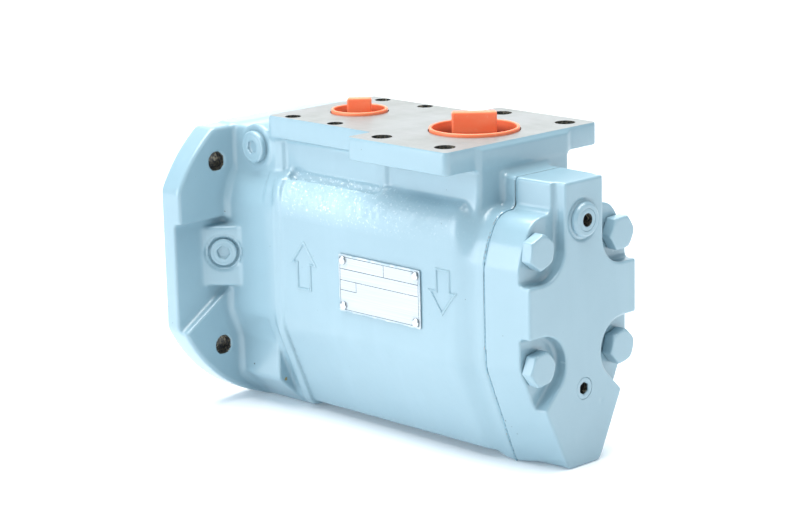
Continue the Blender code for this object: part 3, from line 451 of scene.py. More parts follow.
def rear_cover():
    g = Grid((89.0, -33.5, -1.5), (114.2, 33.5, 118.8), 0.5)
    field = cover_field(g)
    y = np.abs(g.y)
    hole = np.hypot(y - BOLT_AT, np.abs(g.z - AXIS) - BOLT_AT) - 4.15
    field = carve(field, hole)
    field = carve(field, np.maximum(np.hypot(y - IDLER_AT, g.z - AXIS) - 8.0, g.x - COVER_X[0] - 8.0))
    valve = np.hypot(g.y, g.z - VALVE_Z)
    field = carve(field, np.maximum(valve - 7.3, g.x - COVER_X[0] - 13.5))
    field = carve(field, valve - VALVE_R)
    field = carve(field, np.hypot(valve - 8.0, g.x - COVER_X[1]) - 0.55, 0.4)
    drain = np.hypot(g.y, g.z - DRAIN_Z)
    field = carve(field, np.maximum(drain - DRAIN_R, COVER_X[1] - 9.0 - g.x))
    dent = 0.28 * np.exp(-(np.hypot(g.y - 10.2, g.z - 24.6) / 1.0) ** 2)
    mark = 0.16 * np.exp(-(np.hypot(g.y + 6.0, (g.z - 12.0) * 0.45) / 1.1) ** 2)
    field = field + (dent - mark) * (g.x > 112.0)
    verts, faces = surface(field, g)
    snap_plane(verts, 0, COVER_X[0], 0.25)
    snap_circle(verts, 0, (0.0, DRAIN_Z), DRAIN_R, COVER_X[1], 0.6)
    snap_circle(verts, 0, (0.0, VALVE_Z), VALVE_R, COVER_X[1], 0.6)
    verts[:, 0] = np.minimum(verts[:, 0], COVER_X[1] + 0.1)
    verts[:, 2] = np.clip(verts[:, 2], 0.0, BOSS_TOP)
    return mesh_object("end_cover_casting", verts, faces)


# ------------------------------------------------------------------ turned and small pieces
def soften(points, radius, steps=4):
    """A profile with each inner corner replaced by a short arc."""
    result = [points[0]]
    for before, corner, after in zip(points, points[1:], points[2:]):
        a, b = Vector(before) - Vector(corner), Vector(after) - Vector(corner)
        reach = min(radius, 0.45 * a.length, 0.45 * b.length)
        start, end = Vector(corner) + a.normalized() * reach, Vector(corner) + b.normalized() * reach
        for i in range(steps + 1):
            t = i / steps
            p = start * (1 - t) ** 2 + Vector(corner) * 2 * t * (1 - t) + end * t ** 2
            result.append((p.x, p.y))
    return result + [points[-1]]


def lathe(name, profile, at, direction=(1, 0, 0), sides=96, ring=False, soft=0.3):
    """A turned piece: (along, radius) points about direction; the ends close on the axis."""
    points = soften(list(profile) + list(profile[:2]), soft)[1:-1] if ring else soften(profile, soft)
    angles = np.arange(sides) * 2 * math.pi / sides
    along = np.array([p[0] for p in points])
    radius = np.array([max(p[1], 0.02) for p in points])
    verts = np.stack([np.repeat(along, sides), np.outer(radius, np.cos(angles)).ravel(),
                      np.outer(radius, np.sin(angles)).ravel()], axis=1)
    rows = len(points) if ring else len(points) - 1
    i = np.arange(rows)[:, None] * sides
    j = (np.arange(rows)[:, None] + 1) % len(points) * sides
    k = np.arange(sides)[None, :]
    n = (k + 1) % sides
    faces = np.stack([i + k, j + k, j + n, i + n], axis=2).reshape(-1, 4)
    obj = mesh_object(name, verts, faces, sharp=30.0)
    fix_normals(obj)
    return place(obj, at, direction)


def fix_normals(obj):
    """Caps the open ends and turns every face outwards."""
    bm = bmesh.new()
    bm.from_mesh(obj.data)
    bmesh.ops.holes_fill(bm, edges=[e for e in bm.edges if e.is_boundary])
    bmesh.ops.recalc_face_normals(bm, faces=bm.faces)
    bm.to_mesh(obj.data)
    bm.free()
    obj.data.shade_smooth()
    obj.data.set_sharp_from_angle(angle=math.radians(30.0))


def place(obj, at, direction=(1, 0, 0), turn=0.0):
    """Local +X goes along direction, turned about it, at a point in millimetres."""
    swing = Vector((1, 0, 0)).rotation_difference(Vector(direction).normalized())
    matrix = swing.to_matrix().to_4x4() @ Matrix.Rotation(turn, 4, "X")
    obj.matrix_world = Matrix.Translation(Vector(at) * 0.001) @ matrix
    return obj


def hexagon(y, z, across_flats, soft):
    """Distance to a hexagon's sides; its corners lie on the y axis."""
    apothem = across_flats / 2
    sides = [np.abs(z), np.abs(z * 0.5 + y * SIN_60), np.abs(z * 0.5 - y * SIN_60)]
    return rmax(rmax(sides[0] - apothem, sides[1] - apothem, soft), sides[2] - apothem, soft)


SIN_60, TAN_60 = 0.8660254, 1.732
BOLT_FLATS, BOLT_HEAD, BOLT_SHANK_R = 13.0, 5.3, 4.0


def bolt_mesh(name, turn, at):
    """Painted hexagon head screw, chamfered head, its edges softened by the paint."""
    g = Grid((-39.0, -8.4, -8.4), (6.2, 8.4, 8.4), 0.3)
    radius = np.hypot(g.y, g.z)
    head = hexagon(g.y, g.z, BOLT_FLATS, 0.45)
    head = rmax(head, radius - 6.35 - (BOLT_HEAD - g.x) * TAN_60, 0.35)
    head = rmax(head, slab(g.x, 0.0, BOLT_HEAD), 0.45)
    shank = np.maximum(radius - BOLT_SHANK_R, slab(g.x, -37.8, 1.0))
    verts, faces = surface(rmin(head, shank, 0.4), g)
    return place(mesh_object(name, verts, faces, 50.0), at, turn=turn)


def socket_plug(name, at, direction, collar_r, collar_h, shank_r, shank, socket, depth, crown, turn):
    """Screw plug with a collar and a hexagon socket, the socket partly filled with paint."""
    g = Grid((-shank - 1.0, -collar_r - 1.0, -collar_r - 1.0),
             (collar_h + 1.0, collar_r + 1.0, collar_r + 1.0), 0.2)
    radius = np.hypot(g.y, g.z)
    collar = rmax(radius - collar_r, slab(g.x, 0.0, collar_h), crown)
    stem = np.maximum(radius - shank_r, slab(g.x, -shank, collar_h / 2))
    field = np.minimum(collar, stem)
    hole = rmax(hexagon(g.y, g.z, socket, 0.5), collar_h - depth - g.x, 0.7)
    field = carve(field, hole, 0.35)
    ring = np.exp(-((radius - collar_r + 1.7) / 0.35) ** 2) * (g.x > collar_h - 1.0)
    verts, faces = surface(field + 0.10 * ring, g)
    return place(mesh_object(name, verts, faces, 55.0), at, direction, turn)


def closure(name, at_x, bore_r, tab_width, tab_height):
    """Moulded plastic closure: a tapered cup with a thin rim and a pull tab standing in it."""
    outer = bore_r - 0.45
    g = Grid((-outer - 1.0, -outer - 1.0, -15.0), (outer + 1.0, outer + 1.0, tab_height + 1.0),
             0.3)
    radius = np.hypot(g.x, g.y)
    taper = outer - 0.5 * np.clip((-2.0 - g.z) / 11.0, 0, 1)
    cup = rmax(radius - taper, slab(g.z, -14.0, 1.4), 0.4)
    cup = carve(cup, rmax(radius - outer + 1.25, -8.0 - g.z, 0.8), 0.3)
    cup = carve(cup, rmax(radius - 0.6 * outer, g.z + 9.8, 0.8), 0.3)
    turn = math.radians(44.0)
    u = g.x * math.sin(turn) + g.y * math.cos(turn)
    v = g.x * math.cos(turn) - g.y * math.sin(turn)
    tab = box2(np.abs(u) - tab_width / 2, g.z - tab_height, 1.1)
    tab = rmax(tab, np.abs(v) - 2.2, 0.8)
    tab = np.maximum(tab, -8.4 - g.z)
    verts, faces = surface(rmin(cup, tab, 0.8), g)
    verts[:, 2] = np.minimum(verts[:, 2], tab_height)
    obj = mesh_object(name, verts, faces, 50.0)
    obj.matrix_world = Matrix.Translation(Vector((at_x, 0.0, PLATE_TOP)) * 0.001)
    return obj


# ------------------------------------------------------------------ materials
class Shade:
    """One node material, built from object coordinates in metres."""

    def __init__(self, name, roughness, metallic=0.0, coat=0.0, coat_roughness=0.05):
        self.mat = bpy.data.materials.new(name)
        self.mat.use_nodes = True
        self.tree = self.mat.node_tree
        self.shader = self.tree.nodes["Principled BSDF"]
        self.set("Roughness", roughness)
        self.set("Metallic", metallic)
        self.set("Coat Weight", coat)
        self.set("Coat Roughness", coat_roughness)
        self.coords = self.node("TexCoord").outputs["Object"]

    def set(self, socket, value):
        if isinstance(value, bpy.types.NodeSocket):
            self.tree.links.new(value, self.shader.inputs[socket])
        else:
            self.shader.inputs[socket].default_value = value

    def node(self, kind, inputs=(), **settings):
        made = self.tree.nodes.new("ShaderNode" + kind)
        for key, value in settings.items():
            setattr(made, key, value)
        for key, value in dict(inputs).items():
            if isinstance(value, bpy.types.NodeSocket):
                self.tree.links.new(value, made.inputs[key])
            else:
                made.inputs[key].default_value = value
        return made

    def stretched(self, scale):
        return self.node("Mapping", {"Vector": self.coords, "Scale": scale}).outputs[0]

    def noise(self, scale, detail=2.0, rough=0.5, vector=None):
        values = {"Vector": vector or self.coords, "Scale": scale, "Detail": detail, "Roughness": rough}
        return self.node("TexNoise", values).outputs[0]

    def math(self, operation, *values):
        return self.node("Math", dict(enumerate(values)), operation=operation).outputs[0]

    def span(self, value, low, high, to_low=0.0, to_high=1.0):
        values = {"Value": value, "From Min": low, "From Max": high, "To Min": to_low, "To Max": to_high}
        return self.node("MapRange", values).outputs[0]

    def mix(self, factor, a, b):
        made = self.node("Mix", data_type="RGBA")
        for index, value in ((0, factor), (6, a), (7, b)):
            if isinstance(value, bpy.types.NodeSocket):
                self.tree.links.new(value, made.inputs[index])
            elif index == 0:
                made.inputs[index].default_value = value
            else:
                made.inputs[index].default_value = (*value, 1.0)
        return made.outputs[2]

    def bump(self, height, distance, strength=1.0, normal=None):
        values = {"Height": height, "Distance": distance, "Strength": strength}
        if normal is not None:
            values["Normal"] = normal
        return self.node("Bump", values).outputs[0]


PAINT = (0.254, 0.392, 0.462)
PAINT_LIGHT = (0.284, 0.430, 0.496)
PAINT_DEEP = (0.212, 0.346, 0.414)


def spot(s, at, radius):
    """One where the surface is near a point given in millimetres, zero away from it."""
    centre = [0.001 * v for v in at]
    away = s.node("VectorMath", {0: s.coords, 1: centre}, operation="DISTANCE").outputs["Value"]
    ragged = s.math("ADD", away, s.span(s.noise(900.0), 0.3, 0.7, -0.0003, 0.0003))
    return s.span(ragged, 0.001 * radius, 0.0008 * radius)


def cast_band(s):
    """One on the rough cast shoulder above the nameplate side, fading out around it."""
    split = s.node("SeparateXYZ", {0: s.coords})
    x, z = split.outputs[0], split.outputs[2]
    high = s.math("MULTIPLY", s.span(z, 0.088, 0.097), s.span(z, 0.109, 0.106))
    along = s.math("MULTIPLY", s.span(x, -0.030, -0.025), s.span(x, 0.055, 0.010, 0.15, 1.0))
    along = s.math("MULTIPLY", along, s.span(x, 0.088, 0.070))
    return s.math("MULTIPLY", high, along)


def paint(name, peel=1.0, seed=0.0, marks=()):
    """Brush-thick enamel: orange peel, slow colour drift, painted highlights on convex edges and painted shade
    in creases, a few chips.
    """
    s = Shade(name, 0.32, coat=0.5, coat_roughness=0.14)
    s.set("IOR", 1.6)
    moved = s.node("Mapping", {"Vector": s.coords, "Location": (seed, -seed, 0.5 * seed)}).outputs[0]
    drift = s.noise(16.0, 3.0, 0.55, moved)
    mottle = s.noise(140.0, 3.0, 0.6, moved)
    colour = s.mix(s.span(drift, 0.32, 0.68), PAINT_DEEP, PAINT_LIGHT)
    colour = s.mix(0.6, colour, PAINT)
    colour = s.mix(s.span(mottle, 0.35, 0.75, 0.0, 0.16), colour, PAINT_LIGHT)
    runs = s.noise(30.0, 2.0, 0.5, s.stretched((2.4, 2.4, 0.35)))
    colour = s.mix(s.span(runs, 0.55, 0.80, 0.0, 0.16), colour, (0.37, 0.53, 0.62))
    # Pointiness drives painted light: a painted highlight on convex edges and painted shade in concave creases.
    ridge = s.node("NewGeometry").outputs["Pointiness"]
    colour = s.mix(s.span(ridge, 0.54, 0.64, 0.0, 0.40), colour, (0.46, 0.62, 0.67))
    colour = s.mix(s.span(ridge, 0.46, 0.38, 0.0, 0.30), colour, (0.15, 0.28, 0.36))
    band = cast_band(s)
    # Painted light on the rough shoulder band: its lighter tone is painted top light, and the white specks are
    # painted glints.
    painted_glints = s.math("MULTIPLY", s.span(s.noise(820.0, 2.0, 0.6), 0.60, 0.70), band)
    colour = s.mix(s.math("MULTIPLY", band, 0.55), colour, (0.44, 0.61, 0.68))
    colour = s.mix(s.math("MULTIPLY", painted_glints, 0.85), colour, (0.82, 0.92, 0.95))
    chips = s.span(s.noise(520.0, 1.0, 0.5, moved), 0.812, 0.818, 0.0, 0.7)
    colour = s.mix(chips, colour, (0.10, 0.12, 0.12))
    for at, radius, tone in marks:
        colour = s.mix(spot(s, at, radius), colour, tone)
    s.set("Base Color", colour)
    fine = s.bump(s.noise(330.0, 2.0, 0.45, moved), 0.00016 * peel, 0.5)
    ripple = s.bump(s.noise(75.0, 2.0, 0.5, moved), 0.0002 * peel, 0.25, fine)
    grit = s.math("MULTIPLY", s.noise(560.0, 2.0, 0.5), band)
    s.set("Normal", s.bump(grit, 0.0005, 0.8, ripple))
    return s.mat


RUST, DUST = (0.30, 0.22, 0.06), (0.02, 0.03, 0.03)
BODY_MARKS = (((-36.2, -26.8, 13.5), 0.9, RUST), ((-53.0, -30.6, 18.0), 0.45, DUST),
              ((-62.2, -62.5, 52.0), 0.5, DUST), ((70.0, -18.0, 1.0), 0.8, RUST))


def machined(name, colour, rough=0.34, across=(14.0, 900.0, 14.0), stain=0.3):
    """Cut metal: fine tool lines in one direction, oily stains and a little tarnish."""
    s = Shade(name, rough, metallic=0.85)
    lines = s.noise(1.0, 3.0, 0.65, s.stretched(across))
    stains = s.noise(34.0, 4.0, 0.6)
    film = s.noise(12.0, 2.0, 0.5)
    dark = tuple(0.55 * c for c in colour)
    base = s.mix(s.span(lines, 0.3, 0.7, 0.0, 0.35), colour, tuple(min(1.0, 1.25 * c) for c in colour))
    base = s.mix(s.span(stains, 0.50, 0.72, 0.0, stain), base, dark)
    base = s.mix(s.span(film, 0.45, 0.70, 0.0, 0.18), base, (0.56, 0.50, 0.60))
    s.set("Base Color", base)
    s.set("Roughness", s.span(stains, 0.35, 0.70, rough - 0.08, rough + 0.14))
    s.set("Normal", s.bump(lines, 0.00004, 0.6))
    return s.mat


def rust_and_hole_shade(name):
    """Unpainted iron inside a drilled hole, with rust specks; its near-black base is painted shade for the
    hole's depth.
    """
    s = Shade(name, 0.5, metallic=0.5)
    specks = s.noise(900.0, 2.0, 0.6)
    # Near-black base: painted shade down in the hole; the brown specks over it are rust.
    base = s.mix(s.span(specks, 0.42, 0.62), (0.028, 0.034, 0.038), (0.15, 0.135, 0.10))
    base = s.mix(s.span(s.noise(420.0, 2.0), 0.60, 0.68, 0.0, 0.8), base, (0.42, 0.38, 0.28))
    s.set("Base Color", base)
    s.set("Normal", s.bump(specks, 0.0001, 0.6))
    return s.mat


def plastic(name, bore_r, colour, light):
    """Moulded polyethylene: waxy, with faint flow marks and scuffs, and painted shade down inside the cup."""
    s = Shade(name, 0.36)
    s.set("Subsurface Weight", 0.08)
    s.set("Subsurface Radius", (0.004, 0.0012, 0.0005))
    s.set("Subsurface Scale", 0.6)
    flow = s.noise(55.0, 3.0, 0.5, s.stretched((1.0, 1.0, 3.0)))
    scuffs = s.noise(700.0, 3.0, 0.7)
    base = s.mix(s.span(flow, 0.35, 0.70), colour, light)
    base = s.mix(s.span(scuffs, 0.62, 0.72, 0.0, 0.25), base, (1.0, 0.55, 0.42))
    x, y, height = s.node("SeparateXYZ", {0: s.coords}).outputs
    away = s.math("SQRT", s.math("ADD", s.math("MULTIPLY", x, x), s.math("MULTIPLY", y, y)))
    # Painted shade: dark red on the cup's inner faces, deeper towards its floor.
    cup_shade_zone = s.span(away, 0.001 * (bore_r - 1.1), 0.001 * (bore_r - 1.6))
    cup_shade_zone = s.math("MULTIPLY", cup_shade_zone, s.span(height, -0.0130, -0.0105))
    deep = s.math("MULTIPLY", cup_shade_zone, s.span(height, -0.0002, -0.0045, 0.0, 0.92))
    base = s.mix(deep, base, (0.16, 0.022, 0.018))
    s.set("Base Color", base)
    s.set("Roughness", s.span(scuffs, 0.35, 0.70, 0.30, 0.48))
    s.set("Normal", s.bump(s.noise(420.0, 2.0), 0.00006, 0.4))
    return s.mat


def soft_part(name, colour, rough, grain=800.0):
    """Rubber, fibre, carbon and ceramic pieces: a fine grain with rubbed, lighter patches."""
    s = Shade(name, rough)
    light = tuple(min(1.0, 1.7 * c + 0.01) for c in colour)
    base = s.mix(s.span(s.noise(grain, 3.0, 0.6), 0.3, 0.7), colour, light)
    base = s.mix(s.span(s.noise(60.0), 0.55, 0.75, 0.0, 0.35), base, tuple(0.6 * c + 0.05 for c in colour))
    s.set("Base Color", base)
    s.set("Normal", s.bump(s.noise(grain), 0.00005, 0.5))
    return s.mat


def data_plate(name):
    """White anodised plate with thin grey rules and empty fields, smeared at its edges with paint."""
    low, high = (side * 1000 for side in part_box("nameplate"))
    s = Shade(name, 0.34, metallic=0.25)
    split = s.node("SeparateXYZ", {0: s.coords})
    x = s.math("MULTIPLY", split.outputs[0], 1000.0)
    z = s.math("MULTIPLY", split.outputs[2], 1000.0)
    left, right, foot, head = low.x + 1.0, high.x - 1.0, low.z + 1.1, high.z - 1.1
    title, second, third = high.z - 6.2, high.z - 11.0, high.z - 15.2
    cell, middle = low.x + 10.5, low.x + 27.0
    rows = [(z, foot, x, left, right), (z, head, x, left, right), (x, left, z, foot, head),
            (x, right, z, foot, head), (z, title, x, left, right), (z, second, x, left, right),
            (x, middle, z, title, head), (x, cell, z, third, second), (z, third, x, left, cell)]
    ink = None
    for across, at, along, start, end in rows:
        near = s.math("LESS_THAN", s.math("ABSOLUTE", s.math("SUBTRACT", across, at)), 0.15)
        inside = s.math("MULTIPLY", s.math("GREATER_THAN", along, start - 0.1),
                        s.math("LESS_THAN", along, end + 0.1))
        line = s.math("MULTIPLY", near, inside)
        ink = line if ink is None else s.math("MAXIMUM", ink, line)
    ink = s.math("MULTIPLY", ink, s.span(s.noise(1500.0), 0.3, 0.5, 0.55, 0.95))
    grain = s.noise(1.0, 2.0, 0.6, s.stretched((25.0, 60.0, 2200.0)))
    base = s.mix(s.span(grain, 0.3, 0.7), (0.46, 0.52, 0.56), (0.56, 0.61, 0.64))
    base = s.mix(ink, base, (0.03, 0.05, 0.07))
    inset = s.math("MINIMUM", s.math("MINIMUM", s.math("SUBTRACT", x, low.x), s.math("SUBTRACT", high.x, x)),
                   s.math("MINIMUM", s.math("SUBTRACT", z, low.z), s.math("SUBTRACT", high.z, z)))
    smear = s.math("MULTIPLY", s.span(inset, 1.4, 0.0), s.span(s.noise(260.0, 3.0), 0.40, 0.60))
    base = s.mix(smear, base, PAINT)
    s.set("Base Color", base)
    s.set("Normal", s.bump(grain, 0.00002, 0.4))
    return s.mat


def metal(name, colour, rough, lines=(60.0, 900.0, 900.0)):
    """Ground, turned or plated metal: fine marks, fingerprints of oil, slight tone changes."""
    s = Shade(name, rough, metallic=1.0)
    marks = s.noise(1.0, 3.0, 0.6, s.stretched(lines))
    oil = s.noise(48.0, 3.0, 0.55)
    base = s.mix(s.span(marks, 0.3, 0.7), tuple(0.82 * c for c in colour), colour)
    base = s.mix(s.span(oil, 0.50, 0.74, 0.0, 0.35), base, tuple(0.62 * c for c in colour))
    s.set("Base Color", base)
    s.set("Roughness", s.span(oil, 0.3, 0.7, max(0.05, rough - 0.07), rough + 0.12))
    s.set("Normal", s.bump(marks, 0.00002, 0.5))
    return s.mat


# ------------------------------------------------------------------ assembly
def give(obj, body, nodes, slot, *materials):
    obj.data.materials.clear()
    for mat in materials:
        obj.data.materials.append(mat)
    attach(obj, body)
    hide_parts(*nodes)


def thinned(obj, triangles):
    """Fewer triangles where the surface is flat, so that the mesh stays handy."""
    count = 2 * len(obj.data.polygons)
    if count <= triangles:
        return
    modifier = obj.modifiers.new("thin", "DECIMATE")
    modifier.ratio = triangles / count
    graph = bpy.context.evaluated_depsgraph_get()
    mesh = bpy.data.meshes.new_from_object(obj.evaluated_get(graph))
    obj.modifiers.clear()
    obj.data = mesh
    mesh.shade_smooth()
    mesh.set_sharp_from_angle(angle=math.radians(38.0))


def face_data(obj):
    count = len(obj.data.polygons)
    centres, normals = np.empty(count * 3), np.empty(count * 3)
    obj.data.polygons.foreach_get("center", centres)
    obj.data.polygons.foreach_get("normal", normals)
    return centres.reshape(-1, 3) * 1000.0, normals.reshape(-1, 3)


CUT_FACE, CHAMBER, DRILLED = 1, 2, 3      # the casting's material slots after its paint


def body_regions(obj):
    """Paint outside, bare cut faces on top and on the pilot, dark holes, machined chambers."""
    c, n = face_data(obj)
    x, y, z = c.T
    region = np.zeros(len(c), np.int32)
    top = (z > PLATE_TOP - 0.4) & (n[:, 2] > 0.7)
    front = (x < FLANGE_X[0] + 0.8) & (n[:, 0] < -0.5)
    pilot = (x < FLANGE_X[0] - 0.3)
    region[top | front | pilot] = CUT_FACE
    radius = np.hypot(y, z - AXIS)
    ports = (np.hypot(x - INLET_X, y) < INLET_R + 0.5) | (np.hypot(x - OUTLET_X, y) < OUTLET_R + 0.5)
    inside = ports & (z < PLATE_TOP - 0.5) & (z > 80.0)
    outward = n[:, 1] * y + n[:, 2] * (z - AXIS) > 0.3 * radius
    inside |= (radius < 36.3) & (x < -58.0) & ~outward
    inside |= (radius < 25.4) & (x < 2.0)
    inside |= (np.hypot(np.abs(y) - IDLER_AT, z - AXIS) < 10.9) | ((radius < 17.3) & (x > -2.0))
    inside |= (np.abs(y) < 12.4) & (z > 76.0) & (z < 112.3) & (x > 50.0)
    region[inside] = CHAMBER
    for at, pitch, r, low in PORT_HOLES:
        side = np.hypot(np.abs(x - at) - pitch[0] / 2, np.abs(y) - pitch[1] / 2)
        region[(side < r + 0.25) & (z > low - 0.5) & (np.abs(n[:, 2]) < 0.8)] = DRILLED
    bolt = np.hypot(np.abs(y) - HOLE_AT, np.abs(z - AXIS) - HOLE_AT)
    region[(bolt < 4.3) & (x < -61.6) & (np.abs(n[:, 0]) < 0.8)] = DRILLED
    region[(x > JOINT_X - 0.3) & (n[:, 0] > 0.7)] = CUT_FACE
    obj.data.polygons.foreach_set("material_index", region)


def make_castings(looks):
    body = pump_casting()
    thinned(body, 190000)
    give(body, "housing", ["pump_body"], "pump_body", looks["paint"], looks["plate"], looks["inside"],
         looks["hole"])
    body_regions(body)
    cover = rear_cover()
    thinned(cover, 120000)
    give(cover, "housing", ["rear_cover"], "rear_cover", looks["cover_paint"], looks["inside"])
    c, n = face_data(cover)
    radius = np.hypot(c[:, 1], c[:, 2] - VALVE_Z)
    deep = (radius < 6.5) & (c[:, 0] < 112.6)
    deep |= (np.hypot(c[:, 1], c[:, 2] - DRAIN_Z) < 4.7) & (c[:, 0] < 112.3)
    joint = (c[:, 0] < COVER_X[0] + 0.3) & (n[:, 0] < -0.7)
    cover.data.polygons.foreach_set("material_index", (deep | joint).astype(np.int32))


def spring_half(name, start, turns, pitch, mirrored):
    """Half of the relief valve's spring, wound from its outer end to the middle."""
    around, sides = ((28, 10))
    low, high = (side * 1000 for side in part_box("relief_valve_spring"))
    wire = 0.8
    coil_r = (high.z - low.z) / 2 - wire
    a = np.arange(int(turns * around) + 1)[:, None] * 2 * math.pi / around
    b = np.arange(sides)[None, :] * 2 * math.pi / sides
    along = start + (-1 if mirrored else 1) * (wire + (pitch * turns - wire) * a / (2 * math.pi * turns))
    radius = coil_r + wire * np.cos(b)
    turned = -a if mirrored else a
    across, up = radius * np.cos(turned), VALVE_Z + radius * np.sin(turned)
    points = np.stack([along + wire * np.sin(b), across, up], axis=2)
    ring = np.arange(len(a) - 1)[:, None] * sides
    k = np.arange(sides)[None, :]
    after = (k + 1) % sides
    faces = np.stack([ring + k, ring + after, ring + sides + after, ring + sides + k], axis=2).reshape(-1, 4)
    obj = mesh_object(name, points.reshape(-1, 3), faces, 40.0)
    fix_normals(obj)
    return obj


def make_relief_spring(looks):
    """Two halves that meet in the middle, one at the piston's end and one at the spring seat's; both stay with
    the housing.
    """
    low, high = (side * 1000 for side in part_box("relief_valve_spring"))
    half = (high.x - low.x) / 2
    for name, start, joint, travel in (("relief_spring_piston_half", low.x, "relief_piston_slide", 6.0),
                                       ("relief_spring_seat_half", high.x, "spring_seat_slide", 3.0)):
        spring = spring_half(name, start, 4.0, half / 4.0, start == high.x)
        give(spring, "housing", ["relief_valve_spring"], "relief_valve_spring", looks["black"])
        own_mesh(spring)


def make_bolts(looks):
    turns = (8.0, 23.0, 14.0, 3.0)
    for index, ((sy, sz), turn) in enumerate(zip(CORNERS, turns), 1):
        at = (BOLT_POCKET_X + 0.3, sy * BOLT_AT, AXIS + sz * BOLT_AT)
        node = f"rear_cover_bolt_{index}"
        bolt = bolt_mesh(f"cover_screw_{index}", math.radians(turn), at)
        give(bolt, "housing", [node], node, looks["bolt_paint"])


def make_plugs(looks):
    out = Vector((0, -1, 0))
    at = Vector(VENT) + out * 1.0
    vent = socket_plug("vent_screw_plug", at, out, 6.8, 2.6, 4.6, 9.0, 5.2, 1.3, 0.9, 0.3)
    give(vent, "housing", ["vent_plug"], "vent_plug", looks["plug_paint"])
    out = Vector((1, -1, 0)).normalized()
    at = Vector(GAUGE) + out * (-2.4 + 0.6)
    gauge = socket_plug("gauge_screw_plug", at, out, 5.8, 2.3, 4.6, 5.5, 5.2, 1.3, 0.7, 0.8)
    give(gauge, "housing", ["gauge_plug"], "gauge_plug", looks["plug_paint"])
    for node, base, direction in (("vent_plug_washer", Vector(VENT) + Vector((0, -0.3, 0)), (0, -1, 0)),
                                  ("gauge_plug_washer", Vector(GAUGE) + out * -2.1, out)):
        height, edge = (0.7, 6.5) if node.startswith("vent") else (0.5, 5.7)
        section = [(0, 5.0), (height, 5.0), (height, edge), (0, edge)]
        washer = lathe(node + "_ring", section, base, direction, 64, True, 0.2)
        give(washer, "housing", [node], node, looks["plug_paint"])
    drain = socket_plug("drain_screw_plug", (COVER_X[1] - 0.6, 0.0, DRAIN_Z), (1, 0, 0), 4.5, 0.6, 4.4, 7.0,
                        4.6, 4.0, 0.12, 0.5)
    give(drain, "housing", ["drain_plug"], "drain_plug", looks["cover_paint"], looks["hole"])
    dark_socket(drain, 3.1, -0.1)


def dark_socket(obj, radius, below):
    """The faces inside a socket take the near-black hole material: painted shade for the socket's depth."""
    c, _ = face_data(obj)
    inner = (np.hypot(c[:, 1], c[:, 2]) < radius) & (c[:, 0] < below)
    obj.data.polygons.foreach_set("material_index", inner.astype(np.int32))


def make_relief_valve_end(looks):
    profile = [(103.4, 5.0), (112.0, 5.0), (112.0, 4.56), (115.4, 4.56), (115.4, 6.0), (115.1, 6.6),
               (114.3, 7.1), (113.1, 7.1), (113.1, 6.0), (103.4, 6.0)]
    gland = lathe("valve_gland", profile, (0, 0, VALVE_Z), ring=True, soft=0.12)
    give(gland, "housing", ["relief_valve_gland"], "relief_valve_gland", looks["bolt_paint"])
    profile = [(90.0, 0.0), (90.0, 2.6), (90.4, 3.0), (101.4, 3.0), (101.4, 5.6), (103.0, 5.6), (103.0, 4.5),
               (106.0, 4.5), (106.0, 3.6), (108.0, 3.6), (108.0, 4.5), (115.3, 4.5), (115.3, 2.7),
               (111.0, 2.5), (111.0, 0.0)]
    spindle = lathe("valve_spindle", profile, (0, 0, VALVE_Z), soft=0.15)
    give(spindle, "adjusting_spindle", ["relief_valve_spindle"], "relief_valve_spindle",
         looks["bolt_paint"], looks["hole"])
    dark_socket(spindle, 2.72, 115.2)


def make_closures(looks):
    for node, body, at_x, bore_r, width, height in (
            ("inlet_plug", "inlet_closure", INLET_X, INLET_R, 18.4, 7.6),
            ("outlet_plug", "outlet_closure", OUTLET_X, OUTLET_R, 10.4, 6.0)):
        piece = closure(node.replace("plug", "closure"), at_x, bore_r, width, height)
        give(piece, body, [node], node, looks[node])


RIVET_IN = 2.6                   # the rivets' distance from the plate's edges


def make_nameplate(looks):
    low, high = (side * 1000 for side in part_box("nameplate"))
    g = Grid((low.x - 1.0, low.y - 1.0, low.z - 1.0), (high.x + 1.0, high.y + 1.0, high.z + 1.0),
             0.2)
    field = box2(slab(g.x, low.x, high.x), slab(g.z, low.z, high.z), 1.0)
    field = rmax(field, slab(g.y, low.y, high.y), 0.12)
    across, up = ((low[k] + RIVET_IN, high[k] - RIVET_IN) for k in (0, 2))
    rivets = [(x, z) for x in across for z in up]
    for x, z in rivets:
        field = carve(field, bore(g, "y", (x, z), 1.3))
        dimple = 0.12 * np.exp(-((np.hypot(g.x - x, g.z - z) - 2.3) / 0.7) ** 2)
        field = field + dimple * (g.y < low.y + 0.3)
    verts, faces = surface(field, g)
    plate = mesh_object("data_plate", verts, faces, 45.0)
    thinned(plate, 60000)
    give(plate, "housing", ["nameplate"], "nameplate", looks["plate_print"])
    profile = [(0.0, 0.0), (0.0, 1.0), (1.2, 1.0), (1.2, 1.9), (1.55, 1.75), (1.8, 1.2), (1.9, 0.5), (1.9, 0.0)]
    for index, (x, z) in enumerate(rivets, 1):
        node = f"nameplate_rivet_{index}"
        rivet = lathe(f"plate_rivet_{index}", profile, (x, PANEL_Y - 0.05, z), (0, -1, 0), 40)
        give(rivet, "housing", [node], node, looks["rivet"])


